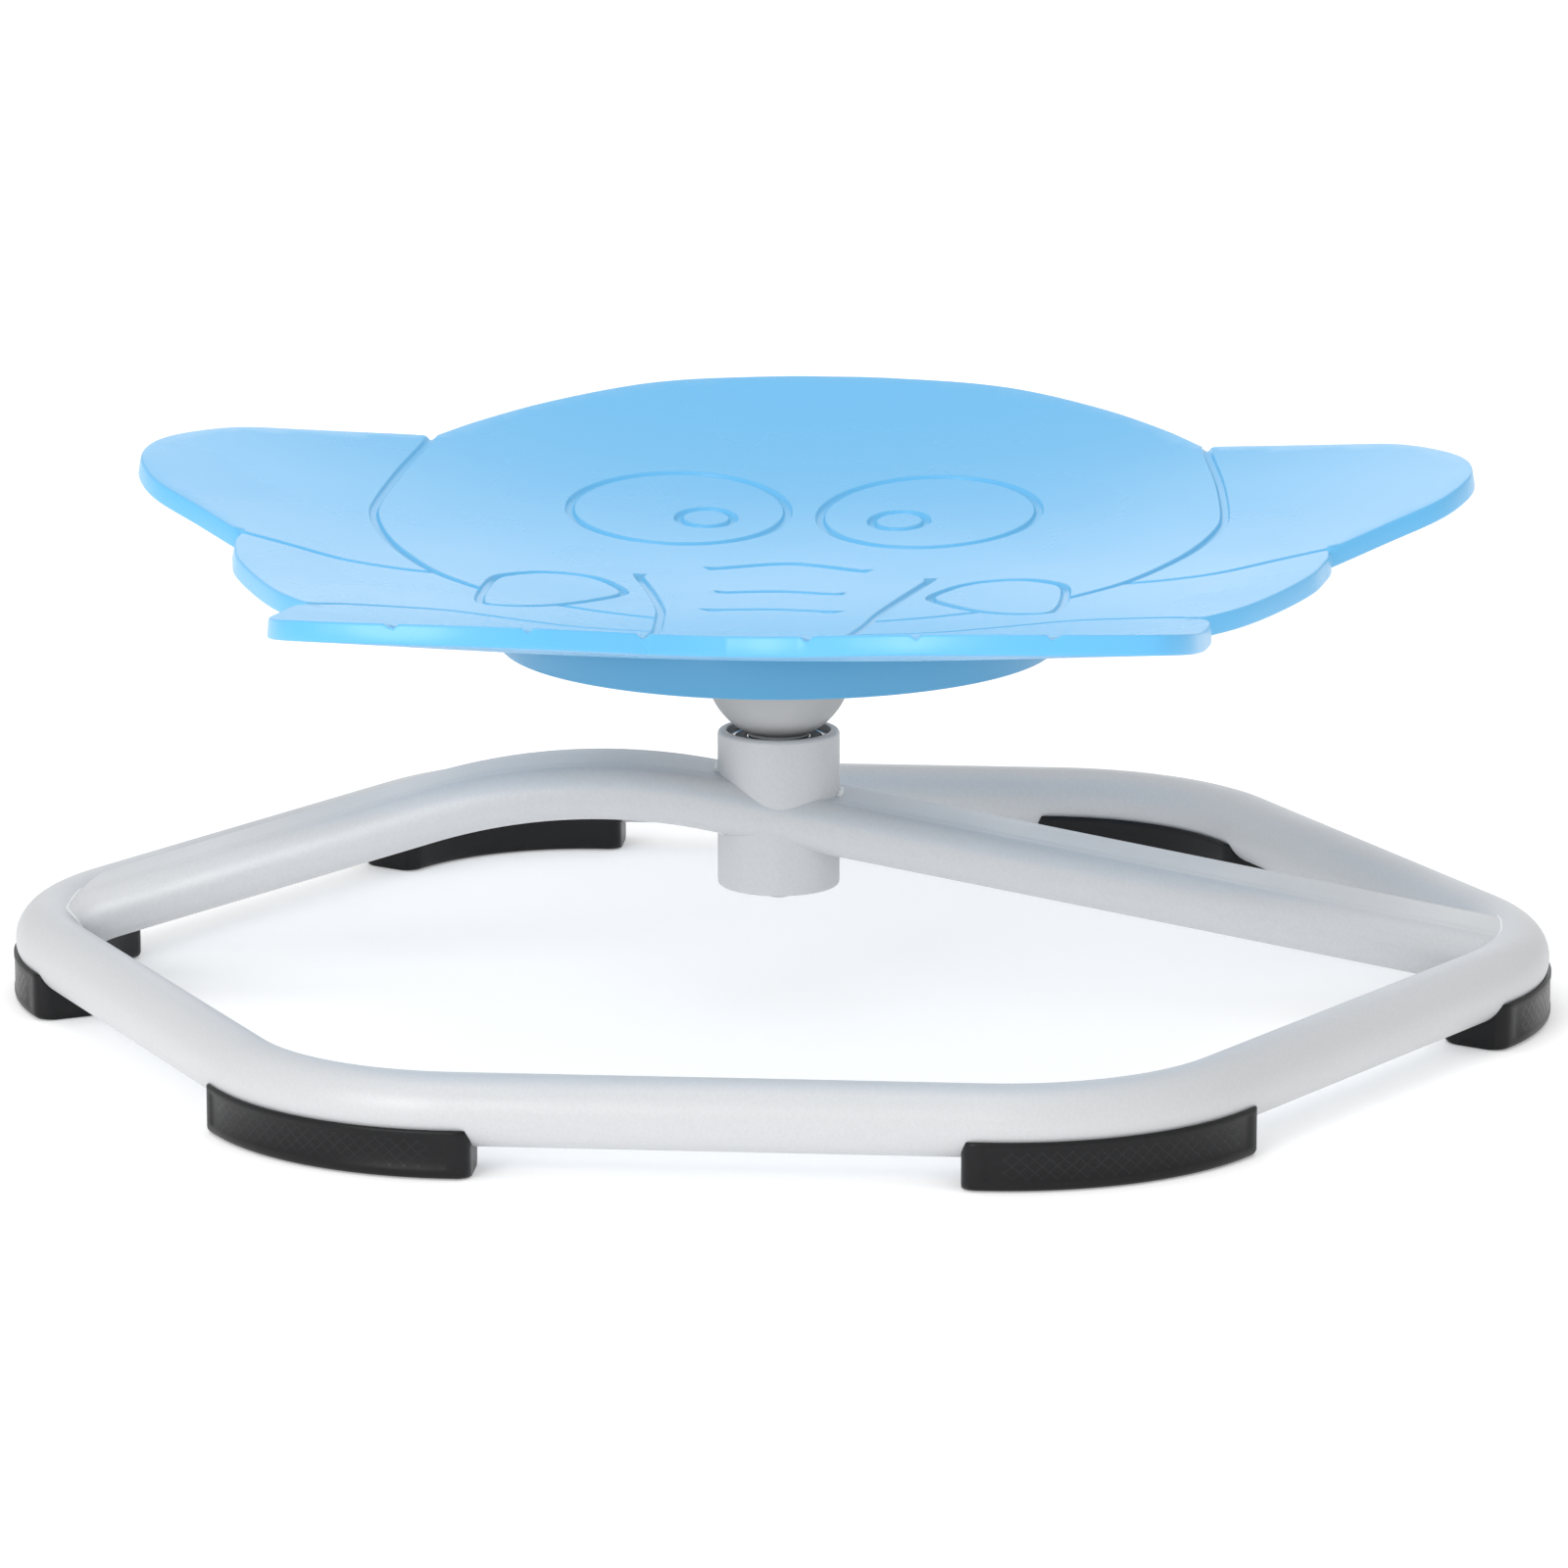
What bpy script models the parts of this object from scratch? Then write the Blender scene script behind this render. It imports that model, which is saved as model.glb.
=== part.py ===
"""Spinning seat: a hexagonal tube base on six rubber feet, a cross beam with a
bearing hub, and an animal-head seat board that turns on a pivot bolt.

Metres, +Z up. The origin is on the floor, under the hub's axis. The cross beam
runs along X. The seat board is dished, lowest at the hub's axis, and its front
edge looks towards -Y.
"""

import math

import bpy
import bmesh
from mathutils import Matrix, Vector
from mathutils.geometry import delaunay_2d_cdt

# ---------------------------------------------------------------- fits
GAP = 0.0003                 # air between two pieces that touch
BALL_GAP = 0.0002            # running clearance of the balls in their grooves

# ---------------------------------------------------------------- base ring
RING_RADIUS = 0.3172         # hub axis to a corner of the unrounded hexagon
RING_BEND = 0.0994           # bend radius of the tube's centre line
RING_TUBE_R = 0.014
RING_WALL = 0.002

# ---------------------------------------------------------------- rubber feet
FOOT_SOLE = 0.010            # rubber between the tube and the floor
FOOT_HALF_LENGTH = 0.0606    # along the tube, from the corner's middle
FOOT_WALL = 0.0009           # how far the side walls stand out past the tube
FOOT_LIP_DROP = 0.005        # top edge of the side walls, below the tube's centre
FOOT_END_ROUND = 0.005
FOOT_EDGE_ROUND = 0.0025

# ---------------------------------------------------------------- foot screws
FOOT_SCREW_R = 0.0023
FOOT_SCREW_LENGTH = 0.0135
SCREW_HEAD_R = 0.0046
SCREW_HEAD_H = 0.0030
SCREW_HEAD_SINK = 0.0008     # head's face, above the sole

# ---------------------------------------------------------------- hub and beam
HUB_R = 0.025
HUB_TOP = 0.1135
HUB_LENGTH = 0.0648
HUB_EDGE_ROUND = 0.0017
HUB_SHOULDER = 0.0025        # how far the middle of the bore steps in
BEAM_HEIGHT = 0.0226
BEAM_WALL = 0.002
BEAM_CROWN_X = -0.070        # highest point of the beam's flat top
BEAM_CROWN_DROP = 0.013      # that point, below the hub's top
BEAM_BEND = 0.250            # radius of the flat top's bend
BEAM_LEFT_RISE = 0.0145      # flat top above the ring's centre line, at the ring
BEAM_RIGHT_RISE = 0.0112

# ---------------------------------------------------------------- ball bearings
BEARING_BORE_R = 0.010
BEARING_R = 0.021
BEARING_H = 0.012
BALL_R = 0.003175
BALL_COUNT = 9
BALL_PITCH_R = 0.0155
RACE_SHOULDER = 0.0022       # race shoulder to the ball circle
SEAL_H = 0.0006
CAGE_R = 0.0007              # half the cage ring's thickness
CAGE_H = 0.0030
BEARING_SINK = 0.0025        # upper bearing's face below the hub's top
BEARING_SPACING = 0.022      # between the two bearings' facing faces
SPACER_WALL = 0.0025

# ---------------------------------------------------------------- pivot bolt
THREAD_R = 0.005
THREAD_SHOWING = 0.0052      # bolt's lower end, below the hub
THREAD_CHAMFER = 0.001
BOLT_HEAD_R = 0.017
BOLT_HEAD_H = 0.0033
WASHER_R = 0.012
WASHER_H = 0.0025
NUT_FLAT_R = 0.008           # half the width across flats
NUT_HEX_H = 0.0065
NUT_COLLAR_R = 0.0072
NUT_COLLAR_H = 0.003

# ---------------------------------------------------------------- half-ball collar
COLLAR_BALL_R = 0.030
COLLAR_FOOT_R = 0.0128
COLLAR_FOOT_H = 0.0012

# ---------------------------------------------------------------- seat
DISC_ABOVE_HUB = 0.0361      # disc's underside above the hub's top
DISC_R = 0.1142
DISC_EDGE_ROUND = 0.0015
PLATE_R = 0.055
PLATE_H = 0.003
PLATE_SEAT_H = 0.0042        # disc left under the plate
BOARD_ABOVE_DISC = 0.0198    # board's face above the disc's underside, at the hub's axis
BOARD_H = 0.008
BOARD_EDGE = 0.0008
DISH_RADIUS_X = 1.283        # the dish's bend from ear to ear
DISH_RADIUS_Y = 0.892        # the dish's bend from front to back
DISH_EASE = 4.80             # how much flatter the four diagonals are

# ---------------------------------------------------------------- seat screws
PLATE_SCREW_COUNT = 4
PLATE_SCREW_PLACE_R = 0.040
PLATE_SCREW_R = 0.0025
PLATE_SCREW_LENGTH = 0.0064  # under the head
BOARD_SCREW_COUNT = 4
BOARD_SCREW_PLACE_R = 0.088
BOARD_SCREW_R = 0.0022
BOARD_SCREW_BITE = 0.0055    # length of thread in the board
BOARD_SCREW_WEB = 0.008      # disc left above a screw's head

# Half of the seat board's outline in plan, from the middle of the back to the
# middle of the front: smooth stretches that meet at corners. Points are x, y.
HEAD_BACK = [(0.0000, 0.2775), (0.0235, 0.2770), (0.0640, 0.2725), (0.0930, 0.2633),
             (0.1247, 0.2446), (0.1495, 0.2220), (0.1665, 0.2000)]
EAR = [(0.1665, 0.2000), (0.1850, 0.1985), (0.2270, 0.1915), (0.2505, 0.1843),
       (0.2680, 0.1670), (0.2785, 0.1460), (0.2812, 0.1220), (0.2772, 0.0985),
       (0.2665, 0.0735), (0.2445, 0.0450), (0.2230, 0.0150)]
CHEEK = [(0.2230, 0.0150), (0.2233, 0.0020), (0.2215, -0.0120), (0.2168, -0.0355),
         (0.2040, -0.0700), (0.1900, -0.1010), (0.1750, -0.1230)]
CHIN = [(0.1750, -0.1230), (0.1788, -0.1340), (0.1800, -0.1500), (0.1797, -0.1750),
        (0.1785, -0.2050), (0.1745, -0.2280), (0.1640, -0.2435), (0.1450, -0.2515),
        (0.1240, -0.2560), (0.1000, -0.2580), (0.0730, -0.2560), (0.0500, -0.2495),
        (0.0300, -0.2415), (0.0150, -0.2370), (0.0000, -0.2355)]
OUTLINE_STEPS = 2            # straight lines between two outline points
DISH_PITCH = 0.030           # spacing of the dished face's inner points

# ---------------------------------------------------------------- facets
SEGMENTS = 32                # facets round the hub, bearings and collar
DISC_SEGMENTS = 48
DISC_TOP_STEPS = 4
TUBE_SEGMENTS = 16
BEND_STEPS = 6
SCREW_SEGMENTS = 8
BEARING_SEGMENTS = 24
CAGE_SEGMENTS = 18
GROOVE_STEPS = 3
BALL_SEGMENTS = 8
BALL_RINGS = 4
BEAM_BEND_STEPS = 8

# ---------------------------------------------------------------- worked out
RING_Z = FOOT_SOLE + RING_TUBE_R
CORNER_CENTRE = RING_RADIUS - RING_BEND / math.cos(math.radians(30))
HALF_BEND_LENGTH = RING_BEND * math.radians(30)
HUB_BOTTOM = HUB_TOP - HUB_LENGTH
BEAM_CROWN_Z = HUB_TOP - BEAM_CROWN_DROP
BEAM_HALF_FLAT = HUB_R - BEAM_HEIGHT / 2
THREAD_END = HUB_BOTTOM - THREAD_SHOWING
DISC_BOTTOM = HUB_TOP + DISC_ABOVE_HUB
BOARD_AXIS_TOP = DISC_BOTTOM + BOARD_ABOVE_DISC
UPPER_BEARING_Z = HUB_TOP - BEARING_SINK - BEARING_H
LOWER_BEARING_Z = UPPER_BEARING_Z - BEARING_SPACING - BEARING_H
COLLAR_BOTTOM = UPPER_BEARING_Z + BEARING_H + GAP
BALL_CENTRE_Z = (COLLAR_BOTTOM + COLLAR_FOOT_H
                 + math.sqrt(COLLAR_BALL_R ** 2 - COLLAR_FOOT_R ** 2))
BOARD_BOTTOM = BOARD_AXIS_TOP - BOARD_H
HUB_BORE_R = BEARING_R + GAP
SHAFT_R = BEARING_BORE_R - GAP
RECESS_FLOOR = DISC_BOTTOM + PLATE_SEAT_H
PLATE_BOTTOM = RECESS_FLOOR + GAP
PLATE_TOP = PLATE_BOTTOM + PLATE_H
COUNTERBORE_R = SCREW_HEAD_R + 2 * GAP
CORNER_NAMES = ["right", "back_right", "back_left", "left", "front_left", "front_right"]


# ================================================================ materials
def make_material(name, colour, roughness, metallic=0.0):
    """A plain Principled material."""
    material = bpy.data.materials.new(name)
    material.use_nodes = True
    shader = material.node_tree.nodes["Principled BSDF"]
    shader.inputs["Base Color"].default_value = (*colour, 1.0)
    shader.inputs["Roughness"].default_value = roughness
    shader.inputs["Metallic"].default_value = metallic
    return material


# ================================================================ mesh helpers
def add_object(name, bm, material, smooth_angle=35.0):
    """Turn a bmesh into an object of the scene, with its normals outwards."""
    bmesh.ops.recalc_face_normals(bm, faces=bm.faces)
    mesh = bpy.data.meshes.new(name)
    bm.to_mesh(mesh)
    bm.free()
    mesh.shade_smooth()
    mesh.set_sharp_from_angle(angle=math.radians(smooth_angle))
    obj = bpy.data.objects.new(name, mesh)
    bpy.context.scene.collection.objects.link(obj)
    if material is not None:
        mesh.materials.append(material)
    return obj


def loft(rings, wrap=False):
    """Skin rings of equally many points; the ends are capped, or joined by wrap."""
    bm = bmesh.new()
    loops = [[bm.verts.new(point) for point in ring] for ring in rings]
    count = len(loops[0])
    pairs = list(zip(loops, loops[1:]))
    if wrap:
        pairs.append((loops[-1], loops[0]))
    for lower, upper in pairs:
        for i in range(count):
            j = (i + 1) % count
            bm.faces.new((lower[i], lower[j], upper[j], upper[i]))
    if not wrap:
        bm.faces.new(list(reversed(loops[0])))
        bm.faces.new(loops[-1])
    return bm


def circle_ring(radius, height, segments):
    """A level ring of points about Z."""
    return [Vector((radius * math.cos(a), radius * math.sin(a), height))
            for a in (2 * math.pi * i / segments for i in range(segments))]


def turned(profile, segments=SEGMENTS, hollow=True):
    """Turn a profile of (radius, height) points about Z."""
    return loft([circle_ring(radius, height, segments) for radius, height in profile], wrap=hollow)


def arc(centre, radius, start, end, steps):
    """Points of an arc in a plane, angles in degrees."""
    points = []
    for i in range(steps + 1):
        angle = math.radians(start + (end - start) * i / steps)
        points.append((centre[0] + radius * math.cos(angle), centre[1] + radius * math.sin(angle)))
    return points


def as_cutter(obj):
    """Keep an object only as the tool of a Boolean."""
    obj.hide_render = True
    obj.display_type = "WIRE"
    return obj


def boolean(obj, cutter, operation="DIFFERENCE"):
    """Add a Boolean modifier that uses the cutter."""
    modifier = obj.modifiers.new(cutter.name, "BOOLEAN")
    modifier.operation = operation
    modifier.solver = "EXACT"
    modifier.object = as_cutter(cutter)


def hole_cutter(name, places, stages):
    """Upright stepped holes at several places; stages are (radius, bottom, top)."""
    bm = bmesh.new()
    for x, y in places:
        profile = []
        for radius, bottom, top in stages:
            profile += [(radius, bottom), (radius, top)]
        hole = turned(profile, SCREW_SEGMENTS, hollow=False)
        bmesh.ops.translate(hole, verts=hole.verts, vec=(x, y, 0.0))
        mesh = bpy.data.meshes.new(name)
        hole.to_mesh(mesh)
        hole.free()
        bm.from_mesh(mesh)
        bpy.data.meshes.remove(mesh)
    return add_object(name, bm, None)


# ================================================================ base ring
def ring_frame(corner, along):
    """Point, outward direction and direction of the tube, `along` from a corner's middle."""
    middle = math.radians(60 * corner)
    swing = max(-HALF_BEND_LENGTH, min(HALF_BEND_LENGTH, along))
    angle = middle + swing / RING_BEND
    out = Vector((math.cos(angle), math.sin(angle), 0.0))
    forward = Vector((-out.y, out.x, 0.0))
    centre = Vector((math.cos(middle), math.sin(middle), 0.0)) * CORNER_CENTRE
    point = centre + out * RING_BEND + forward * (along - swing)
    point.z = RING_Z
    return point, out, forward


def ring_tube(radius, segments=TUBE_SEGMENTS):
    """The hexagonal ring as a closed round tube of the given radius."""
    rings = []
    for corner in range(6):
        for step in range(BEND_STEPS + 1):
            along = HALF_BEND_LENGTH * (2 * step / BEND_STEPS - 1)
            point, out, _ = ring_frame(corner, along)
            rings.append([point + radius * (math.cos(a) * out + math.sin(a) * Vector((0, 0, 1)))
                          for a in (2 * math.pi * i / segments for i in range(segments))])
    return loft(rings, wrap=True)


def foot_screw_place(corner):
    """Where a foot's screw enters the tube, in the middle of the corner."""
    point, _, _ = ring_frame(corner, 0.0)
    return point.x, point.y


def build_base_ring(steel):
    """Hollow tube, opened from below by the foot screws' holes."""
    ring = add_object("base_ring", ring_tube(RING_TUBE_R), steel)
    boolean(ring, add_object("cut_ring_inside", ring_tube(RING_TUBE_R - RING_WALL, TUBE_SEGMENTS // 2), None))
    holes = hole_cutter("cut_ring_holes", [foot_screw_place(corner) for corner in range(6)],
                        [(FOOT_SCREW_R + GAP, 0.0, RING_Z)])
    boolean(ring, holes)
    return ring


# ================================================================ feet
def foot_section(half_width):
    """Saddle section across the tube, (outward, up) from the tube's centre."""
    seat_r = RING_TUBE_R + GAP
    lip = math.sqrt(seat_r ** 2 - FOOT_LIP_DROP ** 2)
    groove = min(lip, half_width - GAP)
    lip_z = -math.sqrt(seat_r ** 2 - groove ** 2)
    sole = -RING_Z
    corner = arc((half_width - FOOT_EDGE_ROUND, sole + FOOT_EDGE_ROUND), FOOT_EDGE_ROUND, 0, -90, 1)
    outer = [(half_width, lip_z)] + corner
    start = math.degrees(math.atan2(lip_z, -groove))
    end = math.degrees(math.atan2(lip_z, groove))
    saddle = arc((0.0, 0.0), seat_r, start, end, 8)
    mirrored = [(-x, z) for x, z in reversed(outer)]
    return outer + mirrored + saddle


def build_foot(corner, name, rubber):
    """Saddle foot that wraps the underside of one bent corner."""
    full = RING_TUBE_R + FOOT_WALL
    end_arc = arc((FOOT_HALF_LENGTH - FOOT_END_ROUND, full - FOOT_END_ROUND), FOOT_END_ROUND, 0, 90, 2)
    middle = [(HALF_BEND_LENGTH * (1 - 2 * i / BEND_STEPS), full) for i in range(BEND_STEPS + 1)]
    stations = end_arc + middle + [(-along, width) for along, width in reversed(end_arc)]
    rings = []
    for along, width in stations:
        point, out, _ = ring_frame(corner, along)
        rings.append([point + x * out + Vector((0, 0, z)) for x, z in foot_section(width)])
    foot = add_object(f"foot_{name}", loft(rings), rubber)
    head_top = SCREW_HEAD_SINK + SCREW_HEAD_H + GAP
    boolean(foot, hole_cutter(f"cut_foot_{name}", [foot_screw_place(corner)],
                              [(COUNTERBORE_R, -0.001, head_top), (FOOT_SCREW_R + GAP, head_top, RING_Z)]))
    if name in ("left", "right"):
        boolean(foot, add_object(f"cut_beam_{name}", loft(beam_rings(name, GAP)), None))
    return foot


def pan_screw(name, place, face, length, radius, material, up=1):
    """Pan-head screw: its head's face at height `face`, its shank along `up`."""
    x, y = place
    dome = SCREW_HEAD_R * 0.25
    profile = [(SCREW_HEAD_R - dome, 0.0), (SCREW_HEAD_R, dome), (SCREW_HEAD_R, SCREW_HEAD_H),
               (radius, SCREW_HEAD_H), (radius, SCREW_HEAD_H + length)]
    bm = turned(profile, SCREW_SEGMENTS, hollow=False)
    if up < 0:
        bmesh.ops.transform(bm, verts=bm.verts, matrix=Matrix.Rotation(math.pi, 4, "X"))
    screw = add_object(name, bm, material)
    screw.location = (x, y, face)
    return screw


# ================================================================ cross beam
def end_slope(reach, rise):
    """Slope of the straight stretch that leaves the bend and meets the ring at its rise."""
    up = RING_Z + rise - (BEAM_CROWN_Z - BEAM_BEND)
    return math.atan2(reach, up) - math.acos(BEAM_BEND / math.hypot(reach, up))


def beam_path(side):
    """Stations along the beam's top: (x, z, slope), from the hub outwards."""
    crown = Vector((BEAM_CROWN_X, BEAM_CROWN_Z))
    centre = crown - Vector((0.0, BEAM_BEND))
    end = CORNER_CENTRE + RING_BEND
    left_slope = end_slope(end + BEAM_CROWN_X, BEAM_LEFT_RISE)
    right_slope = end_slope(end - BEAM_CROWN_X, BEAM_RIGHT_RISE)

    def on_arc(slope):
        return (centre.x + BEAM_BEND * math.sin(slope), centre.y + BEAM_BEND * math.cos(slope), -slope)

    def on_line(slope, x):
        x0, z0, _ = on_arc(slope)
        return x, z0 - (x - x0) * math.tan(slope), -slope

    if side == "right":
        return [on_line(right_slope, 0.0), on_line(right_slope, end)]
    stations = []
    first = right_slope
    if on_arc(first)[0] < 0.0:
        stations.append(on_line(first, 0.0))
    else:
        first = math.asin(-centre.x / BEAM_BEND)
    for i in range(BEAM_BEND_STEPS + 1):
        stations.append(on_arc(first + (-left_slope - first) * i / BEAM_BEND_STEPS))
    stations.append(on_line(-left_slope, -end))
    return stations


def oval(half_flat, radius, steps=5):
    """Flat-oval section, (across, up) from its middle."""
    right = arc((half_flat, 0.0), radius, -90, 90, steps)
    left = arc((-half_flat, 0.0), radius, 90, 270, steps)
    return right + left


def beam_rings(side, offset=0.0):
    """Sections of one beam along its path, its skin moved outwards by the offset."""
    half = BEAM_HEIGHT / 2
    rings = []
    for x, z, slope in beam_path(side):
        up = Vector((-math.sin(slope), 0.0, math.cos(slope)))
        middle = Vector((x, 0.0, z)) - up * half
        rings.append([middle + Vector((0.0, y, 0.0)) + up * w
                      for y, w in oval(BEAM_HALF_FLAT, half + offset)])
    return rings


def build_beam(side, steel):
    """One length of flat-oval tube, coped to the hub and to the ring."""
    rings = beam_rings(side) + beam_rings(side, -BEAM_WALL)[::-1]
    beam = add_object(f"beam_{side}", loft(rings, wrap=True), steel)
    hub_cut = turned([(HUB_R + GAP, 0.0), (HUB_R + GAP, HUB_TOP)], SEGMENTS, hollow=False)
    boolean(beam, add_object(f"cut_hub_{side}", hub_cut, None))
    boolean(beam, add_object(f"cut_ring_{side}", ring_tube(RING_TUBE_R + GAP), None))
    return beam


# ================================================================ hub
def build_hub(steel):
    """Hub tube, bored for a bearing at each end with a step between them."""
    r = HUB_EDGE_ROUND
    top = arc((HUB_R - r, HUB_TOP - r), r, 0, 90, 2)
    bottom = arc((HUB_R - r, HUB_BOTTOM + r), r, -90, 0, 2)
    step_r = HUB_BORE_R - HUB_SHOULDER
    step_low = LOWER_BEARING_Z + BEARING_H + GAP
    step_high = UPPER_BEARING_Z - GAP
    inside = [(HUB_BORE_R, HUB_TOP), (HUB_BORE_R, step_high), (step_r, step_high),
              (step_r, step_low), (HUB_BORE_R, step_low), (HUB_BORE_R, HUB_BOTTOM)]
    return add_object("hub_tube", turned(bottom + top + inside), steel)


# ================================================================ bearings
def build_bearing(level, bottom, materials):
    """Deep-groove bearing: two races, a cage with its balls, and two seals."""
    middle = bottom + BEARING_H / 2
    groove = BALL_R + BALL_GAP
    inner_r = BALL_PITCH_R - RACE_SHOULDER
    outer_r = BALL_PITCH_R + RACE_SHOULDER
    half_angle = math.degrees(math.acos(RACE_SHOULDER / groove))
    inner_groove = arc((BALL_PITCH_R, middle), groove, 180 - half_angle, 180 + half_angle, GROOVE_STEPS)
    outer_groove = arc((BALL_PITCH_R, middle), groove, -half_angle, half_angle, GROOVE_STEPS)
    top = bottom + BEARING_H

    inner = ([(BEARING_BORE_R, bottom), (BEARING_BORE_R, top), (inner_r, top)]
             + inner_groove + [(inner_r, bottom)])
    outer = ([(BEARING_R, bottom), (BEARING_R, top), (outer_r, top)]
             + outer_groove[::-1] + [(outer_r, bottom)])
    add_object(f"{level}_inner_race", turned(inner, BEARING_SEGMENTS), materials["bearing_steel"])
    add_object(f"{level}_outer_race", turned(outer, BEARING_SEGMENTS), materials["bearing_steel"])

    band = [(BALL_PITCH_R - CAGE_R, middle - CAGE_H / 2), (BALL_PITCH_R + CAGE_R, middle - CAGE_H / 2),
            (BALL_PITCH_R + CAGE_R, middle + CAGE_H / 2), (BALL_PITCH_R - CAGE_R, middle + CAGE_H / 2)]
    cage = add_object(f"{level}_ball_cage", turned(band, CAGE_SEGMENTS), materials["bearing_steel"])
    balls = bmesh.new()
    for i in range(BALL_COUNT):
        angle = 2 * math.pi * (i + 0.5) / BALL_COUNT
        place = Matrix.Translation((BALL_PITCH_R * math.cos(angle), BALL_PITCH_R * math.sin(angle), middle))
        bmesh.ops.create_uvsphere(balls, u_segments=BALL_SEGMENTS, v_segments=BALL_RINGS, radius=BALL_R, matrix=place)
    boolean(cage, add_object(f"{level}_balls", balls, None), "UNION")

    for side, low in (("top", top - SEAL_H), ("bottom", bottom)):
        seal = [(inner_r + GAP, low), (outer_r - GAP, low),
                (outer_r - GAP, low + SEAL_H), (inner_r + GAP, low + SEAL_H)]
        add_object(f"{level}_{side}_seal", turned(seal, BEARING_SEGMENTS), materials["black_rubber"])


def build_spacer(steel):
    """Sleeve that holds the two inner races apart."""
    low = LOWER_BEARING_Z + BEARING_H + GAP
    high = UPPER_BEARING_Z - GAP
    outer = BEARING_BORE_R + SPACER_WALL
    return add_object("bearing_spacer", turned([(BEARING_BORE_R, low), (outer, low),
                                                (outer, high), (BEARING_BORE_R, high)]), steel)


# ================================================================ pivot
def build_pivot_bolt(steel):
    """Bolt from the seat plate down through both bearings, with its thread below."""
    head_bottom = PLATE_BOTTOM + PLATE_H + GAP
    shank_end = LOWER_BEARING_Z + GAP
    c = THREAD_CHAMFER
    profile = [(THREAD_R - c, THREAD_END), (THREAD_R, THREAD_END + c), (THREAD_R, shank_end),
               (SHAFT_R, shank_end), (SHAFT_R, head_bottom), (BOLT_HEAD_R, head_bottom),
               (BOLT_HEAD_R, head_bottom + BOLT_HEAD_H - c), (BOLT_HEAD_R - c, head_bottom + BOLT_HEAD_H)]
    return add_object("pivot_bolt", turned(profile, hollow=False), steel)


def build_washer(steel):
    """Washer under the lower inner race."""
    high = LOWER_BEARING_Z - GAP
    low = high - WASHER_H
    bore = THREAD_R + GAP
    return add_object("pivot_washer", turned([(bore, low), (WASHER_R, low), (WASHER_R, high), (bore, high)]),
                      steel)


def build_lock_nut(steel):
    """Hexagonal nut with a round collar that holds its locking ring."""
    high = LOWER_BEARING_Z - GAP - WASHER_H - GAP
    joint = high - NUT_HEX_H
    low = joint - NUT_COLLAR_H
    bore = THREAD_R + GAP
    chamfer = 0.0008
    count = 24

    def circle(radius, z):
        return [Vector((radius * math.cos(2 * math.pi * i / count),
                        radius * math.sin(2 * math.pi * i / count), z)) for i in range(count)]

    def hexagon(z, limit):
        points = []
        for i in range(count):
            angle = 2 * math.pi * i / count
            off_flat = (angle + math.pi / 6) % (math.pi / 3) - math.pi / 6
            radius = min(limit, NUT_FLAT_R / math.cos(off_flat))
            points.append(Vector((radius * math.cos(angle), radius * math.sin(angle), z)))
        return points

    full = NUT_FLAT_R / math.cos(math.pi / 6)
    rings = [circle(bore, low), circle(NUT_COLLAR_R - chamfer, low), circle(NUT_COLLAR_R, low + chamfer),
             circle(NUT_COLLAR_R, joint), hexagon(joint, NUT_FLAT_R * 1.02),
             hexagon(joint + chamfer, full), hexagon(high - chamfer, full),
             hexagon(high, NUT_FLAT_R * 1.02), circle(bore, high)]
    return add_object("lock_nut", loft(rings, wrap=True), steel, smooth_angle=20)


def build_collar(steel):
    """Half ball between the upper bearing and the disc, bored for the bolt."""
    start = -math.degrees(math.acos(COLLAR_FOOT_R / COLLAR_BALL_R))
    ball = arc((0.0, BALL_CENTRE_Z), COLLAR_BALL_R, start, 0, 7)
    high = DISC_BOTTOM - GAP
    profile = ([(BEARING_BORE_R, COLLAR_BOTTOM), (COLLAR_FOOT_R, COLLAR_BOTTOM)] + ball
               + [(COLLAR_BALL_R, high), (BEARING_BORE_R, high)])
    return add_object("half_ball_collar", turned(profile), steel)


# ================================================================ seat
def circle_places(count, radius, turn=0.0):
    """Points spread evenly on a circle about the hub's axis."""
    return [(radius * math.cos(turn + 2 * math.pi * i / count),
             radius * math.sin(turn + 2 * math.pi * i / count)) for i in range(count)]


def plate_screw_places():
    return circle_places(PLATE_SCREW_COUNT, PLATE_SCREW_PLACE_R, math.pi / 4)


def board_screw_places():
    return circle_places(BOARD_SCREW_COUNT, BOARD_SCREW_PLACE_R, math.pi / 4)


def dish_height(x, y):
    """Height of the board's dished face."""
    return (BOARD_AXIS_TOP + x * x / (2 * DISH_RADIUS_X) + y * y / (2 * DISH_RADIUS_Y)
            - DISH_EASE * x * x * y * y)


def dish_normal(x, y):
    """Upward normal of the dished face."""
    slope_x = x / DISH_RADIUS_X - 2 * DISH_EASE * x * y * y
    slope_y = y / DISH_RADIUS_Y - 2 * DISH_EASE * y * x * x
    return Vector((-slope_x, -slope_y, 1.0)).normalized()


def disc_top(x, y):
    """Height of the disc's hollow top, just under the board."""
    return dish_height(x, y) - (BOARD_H + GAP) / dish_normal(x, y).z


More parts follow.
